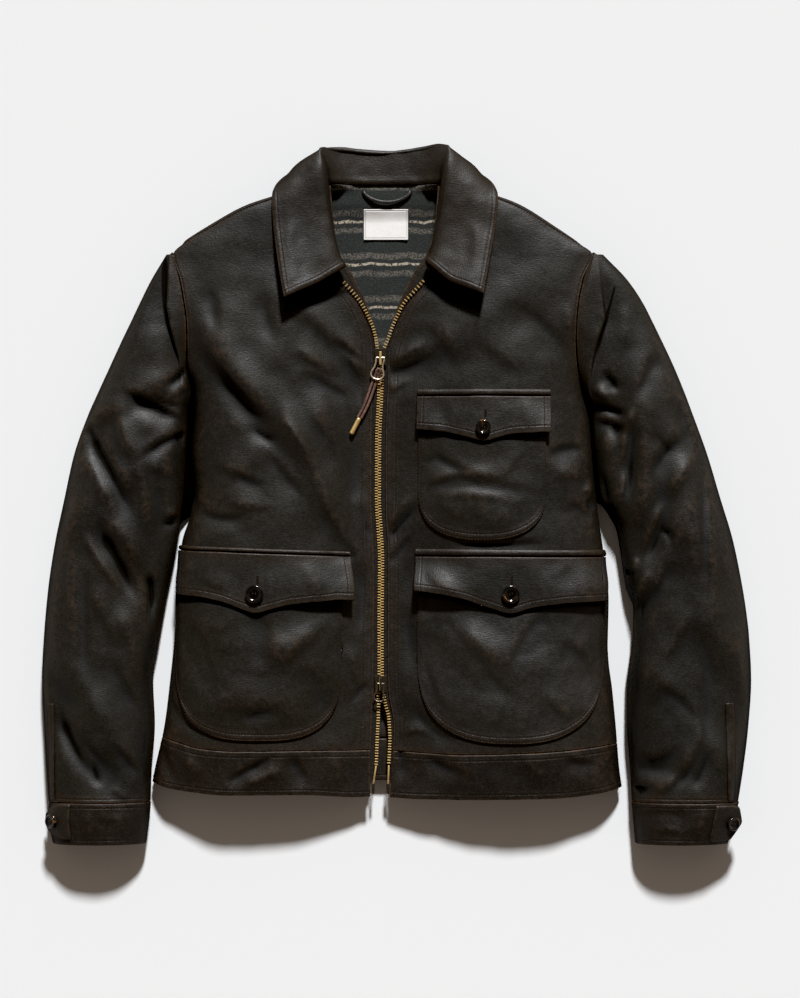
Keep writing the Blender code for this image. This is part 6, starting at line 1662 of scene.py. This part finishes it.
def brighten(node, finish, low, high):
    # the bar down a slider's face is rubbed bright, and the body round it is dark
    thing = bpy.data.objects[node]
    thing.data.materials.append(finish)
    spots = np.array([thing.matrix_world @ Vector(corner) for corner in thing.bound_box])
    middle, top = spots[:, 0].mean(), spots[:, 2].max()
    for face in thing.data.polygons:
        at = thing.matrix_world @ face.center
        inside = low < (at.x - middle) / draft["mm"] < high
        if inside and at.z > top - 3.0 * draft["mm"]:
            face.material_index = len(thing.data.materials) - 1


def refinish(node, finish):
    # a frame node whose shape is right keeps its mesh and takes a better finish
    thing = bpy.data.objects[node]
    if not thing.material_slots:
        thing.data.materials.append(finish)
    for slot in thing.material_slots:
        slot.material = finish


lace = {"radius": 1.5, "count": 64, "route": (
    (-39.4, 84.6, 25.9), (-36.2, 90.5, 25.4), (-31.8, 100.0, 24.6), (-28.2, 110.0, 23.4),
    (-25.4, 118.0, 22.1), (-22.7, 125.0, 21.8), (-20.3, 130.5, 23.0), (-19.2, 134.6, 24.6),
    (-17.5, 136.4, 25.0), (-15.9, 134.6, 24.8), (-16.9, 130.0, 23.2), (-19.2, 124.6, 21.8),
    (-21.4, 118.0, 22.1), (-24.2, 109.5, 23.3), (-28.1, 99.3, 24.4), (-32.8, 89.4, 25.3),
    (-36.0, 83.6, 25.8))}


def makeLace():
    path = inMetres(evenly(curved(lace["route"], 16), lace["count"]))
    curve = bpy.data.curves.new("lace_leather", "CURVE")
    curve.dimensions = "3D"
    spline = curve.splines.new("POLY")
    spline.points.add(len(path) - 1)
    for point, place in zip(spline.points, path):
        point.co = (*place, 1)
    curve.bevel_depth = lace["radius"] * draft["mm"]
    curve.bevel_resolution = 4
    curve.use_fill_caps = True
    curve.materials.append(leather("lace_worn", (0.075, 0.036, 0.026), (0.17, 0.095, 0.070), 0.5))
    piece = belongs(linked("lace_leather", curve), "upper_pull", "lace")


# each flap's button: place and radius.  The cuffs' buttons get their places from the tabs.
buttonsAt = {"lower_left": (-147.0, -102.0, 10.0), "lower_right": (121.6, -102.0, 10.0),
             "chest": (93.1, 73.7, 8.2)}
buttonForm = {"height": 3.6, "clear": 1.0, "cuffRadius": 7.5, "sides": 40, "hole": 0.95,
              "holeAt": 2.1, "strand": 0.42,
              "turned": ((0.07, 0.5), (0.09, 0.35), (0.14, -0.45), (0.10, -0.75), (0.16, -0.12))}


def makeButton(name, place, normal, radius, finish, thread):
    # A turned disc: raised rim, dished face and four holes, with the thread that crosses them
    mm, form = draft["mm"], buttonForm
    scale = radius * mm
    bpy.ops.mesh.primitive_cylinder_add(vertices=form["sides"], radius=scale * 0.97,
                                        depth=form["height"] * 0.72 * mm,
                                        location=(0, 0, form["height"] * 0.36 * mm))
    disc = bpy.context.object
    disc.name = "horn_" + name
    bpy.ops.object.transform_apply(location=True, rotation=False, scale=False)
    editFacing(disc, 2)
    for inset, rise in form["turned"]:
        bpy.ops.mesh.inset(thickness=inset * scale)
        bpy.ops.transform.translate(value=(0, 0, rise * mm))
    bpy.ops.mesh.inset(thickness=0.12 * scale)
    bpy.ops.object.mode_set(mode="OBJECT")
    bevel = disc.modifiers.new("edges", "BEVEL")
    bevel.width, bevel.segments, bevel.limit_method = 0.3 * mm, 2, "ANGLE"
    bpy.ops.object.modifier_apply(modifier="edges")
    at = form["holeAt"] * radius / 10
    for k in range(4):
        angle = math.pi / 4 + k * math.pi / 2
        bpy.ops.mesh.primitive_cylinder_add(
            vertices=12, radius=form["hole"] * radius / 10 * mm, depth=4 * form["height"] * mm,
            location=(at * math.cos(angle) * mm, at * math.sin(angle) * mm, 0))
        drill = bpy.context.object
        cut = disc.modifiers.new("hole", "BOOLEAN")
        cut.operation, cut.object = "DIFFERENCE", drill
        bpy.context.view_layer.objects.active = disc
        bpy.ops.object.modifier_apply(modifier="hole")
        bpy.data.objects.remove(drill)
    turn = Vector(normal).to_track_quat("Z", "Y").to_matrix().to_4x4()
    spin = Matrix.Rotation(math.radians(20), 4, "Z")
    where = Matrix.Translation(Vector(inMetres(place))) @ turn @ spin
    disc.data.transform(where)
    disc.data.shade_smooth()
    disc.data.set_sharp_from_angle(angle=math.radians(38))
    disc.data.materials.clear()
    disc.data.materials.append(finish)
    bpy.ops.object.select_all(action="DESELECT")
    belongs(disc, node="button_" + name)
    # two strands of thread across the holes, over the face and down into them
    top, at = form["height"] * 0.60, at * 0.72
    strands = []
    for y in (-at, at):
        route = ((-at, y, -0.6), (-at * 0.9, y, top), (0, y, top + 0.55), (at * 0.9, y, top),
                 (at, y, -0.6))
        strands.append((evenly(curved(route, 6), 14), form["strand"]))
    corners, faces = tubes(strands, 6)
    matrix = np.array(where)
    corners = corners * mm @ matrix[:3, :3].T + matrix[:3, 3]
    belongs(newMesh("thread_" + name, corners, faces, thread))


def tubeRings(path, radius, sides):
    path = np.asarray(path, float)
    along = unit(np.gradient(path, axis=0))
    side = unit(np.cross(along, np.where(np.abs(along[:, 2:3]) > 0.9, (0, 1.0, 0), (0, 0, 1.0))))
    up = np.cross(side, along)
    angle = 2 * math.pi * (np.arange(sides) + 0.5) / sides
    size = np.broadcast_to(np.asarray(radius, float), (len(path),))[:, None, None]
    return path[:, None] + size * (side[:, None] * np.cos(angle)[:, None]
                                   + up[:, None] * np.sin(angle)[:, None])


def tubeFaces(rings, sides, start):
    faces = [tuple(start + k for k in range(sides))[::-1],
             tuple(start + (rings - 1) * sides + k for k in range(sides))]
    for i in range(rings - 1):
        for j in range(sides):
            k = (j + 1) % sides
            a, b = start + i * sides + j, start + i * sides + k
            faces.append((a, b, b + sides, a + sides))
    return [face[::-1] for face in faces]


def tubes(paths, sides):
    # many small tubes in one mesh, each a path and its radius
    vertices, faces = [], []
    for path, radius in paths:
        rings = tubeRings(path, radius, sides)
        faces += tubeFaces(len(rings), sides, len(vertices))
        vertices += list(rings.reshape(-1, 3))
    return np.array(vertices), faces


threads = {"pitch": 3.4, "length": 2.5, "radius": 0.25, "rise": 0.08}
# each: the pieces, then the edge, how far in and the part of the edge that is sewn
sewn = [
    (("front_left", "front_right"),
     (("last", 1.8, 0.0, 1.0), ("last", 10.5, 0.0, 1.0), ("first", 2.0, 0.0, 0.42))),
    (("band_left", "band_right"), (("top", 6.5, 0.0, 1.0), ("bottom", 5.5, 0.0, 1.0))),
    (("band_back",), (("top", 6.0, 0.0, 1.0), ("bottom", 5.5, 0.0, 1.0))),
    (("cuff_left", "cuff_right"), (("top", 5.0, 0.0, 1.0), ("bottom", 5.0, 0.0, 1.0))),
    (("collar",), (("last", 6.5, 0.0, 1.0), ("top", 6.0, 0.3, 0.98), ("bottom", 6.0, 0.3, 0.98)))]
for spot in pocketsAt:
    for kind, gaps, end in (("pocket_", (2.0, 7.0), 1.0), ("flap_", (7.2,), 0.98)):
        sewn.append(((kind + spot,), tuple((edge, gap, 0.0, end) for edge in
                                           ("first", "last", "bottom") for gap in gaps)))


def makeStitches(thread):
    rise, radius = threads["rise"], threads["radius"] * np.array((0.6, 1, 1, 0.6))
    for name, rows in ((name, rows) for names, rows in sewn for name in names):
        paths = []
        for edge, gap, start, end in rows:
            line = edgeLine("cloth_" + name, edge, gap, start, end)
            places, normals = line[:, :3], unit(line[:, 3:])
            along = unit(np.gradient(places, axis=0)) * threads["length"] / 2
            ends = [places + along * t + normals * h
                    for t, h in ((-1.0, -0.25), (-0.55, rise), (0.55, rise), (1.0, -0.25))]
            paths += [(np.array(path), radius) for path in zip(*ends)]
        vertices, faces = tubes(paths, 4)
        vertices[:, 2] = np.maximum(vertices[:, 2], 0.05)
        stitches = newMesh("stitch_cloth_" + name, inMetres(vertices), faces, thread)
        belongs(stitches)


# each flap's slit: place, top and bottom
holes = {"lower_left": (-143.7, -82.5, -91.6), "lower_right": (123.0, -82.5, -91.6),
         "chest": (95.2, 92.5, 84.5)}


def makeButtonholes(thread, dark):
    # a slit with its whipped edges, of which each button hides the lower end
    for name, (x, top, low) in holes.items():
        places = np.arange(top, low, -0.62)
        paths = []
        for way in (-1, 1):
            ends = [flapTop(name, x + way * k + 0 * places, places) + (0, 0, 0.12)
                    for k in (0.35, 0.8, 1.5)]
            paths += [(np.array(path), 0.30) for path in zip(*ends)]
        paths.append((flapTop(name, x + 0 * places, places) + (0, 0, 0.02), 0.34))
        vertices, faces = tubes(paths, 4)
        piece = newMesh("stitch_hole_" + name, inMetres(vertices), faces, thread, dark)
        # the slit takes the near-black finish, painted shade for the opening
        slit = 4 * (len(places) - 1) + 2
        piece.data.polygons.foreach_set("material_index", [0] * (len(faces) - slit) + [1] * slit)
        belongs(piece)


# the jacket, piece by piece
makeStudio()
makeLace()
print("studio and lace")
for side in ("left", "right"):
    makeFront(side)
    makeBand(side)
makeBack()
makeBackBand()
print("body")
tabPlaces = {}
# near-black and glossless: painted shade for the crevices beside the under sleeves and the buttonholes'
# slits
darkSpeckAndShade = Finish("waxed_painted_shade", roughness=0.9, specular=0.05)
darkSpeckAndShade.colour(waxed["darkSpeckAndShade"])
for side in ("left", "right"):
    makeSleeve(side)
    makeUnderSleeve(side, darkSpeckAndShade.material)
    makeCuff(side)
    tabPlaces[side] = makeTab(side)
    makePlacket(side)
print("sleeves")
for name in pocketsAt:
    makePocket(name)
    makeFlap(name)
    makeWelt(name)
print("pockets")
makeCollar()
makeLining()
makeLabel()
makeHangerLoop()
for side in ("left", "right"):
    makeFacing(side)
print("neck")
brass, nickel, bronze, darkMetal = (agedMetal(name, *look) for name, look in metals.items())
tape = wovenTape("tape_black", (0.010, 0.009, 0.0075), (0.024, 0.020, 0.017), 1500, 0.25)
tooth = makeTooth()
for side in ("left", "right"):
    makeTape(side, tape)
    makeTeeth(side, tooth, brass)
    makeZipEnd(side, brass)
    refinish("zip_pin_" + side, bronze)
refinish("lace_tip", brass)
refinish("pull_upper", nickel)
refinish("pull_lower", darkMetal)
for node, low, high in (("slider_upper", -2.2, 2.2), ("slider_lower", -4.6, -0.8)):
    refinish(node, bronze)
    brighten(node, brass, low, high)
print("zip")
thread = wovenTape("thread_waxed", (0.018, 0.012, 0.008), (0.042, 0.026, 0.015), 2400, 0.1)
for name, (x, y, radius) in buttonsAt.items():
    around = flapTop(name, *np.meshgrid((x - 3.0, x, x + 3.0), (y + 3.0, y, y - 3.0)))
    normal = unit(np.cross(around[1, 2] - around[1, 0], around[0, 1] - around[2, 1]))
    makeButton(name, around[1, 1] + normal * buttonForm["clear"], normal, radius,
               polishedHorn("horn_dark_" + name, 0.0), thread)
for side, (place, normal) in tabPlaces.items():
    makeButton("cuff_" + side, place + normal * buttonForm["clear"], normal,
               buttonForm["cuffRadius"], polishedHorn("horn_dark_cuff_" + side, 0.03), thread)
makeStitches(thread)
makeButtonholes(thread, darkSpeckAndShade.material)
print("buttons and stitches")
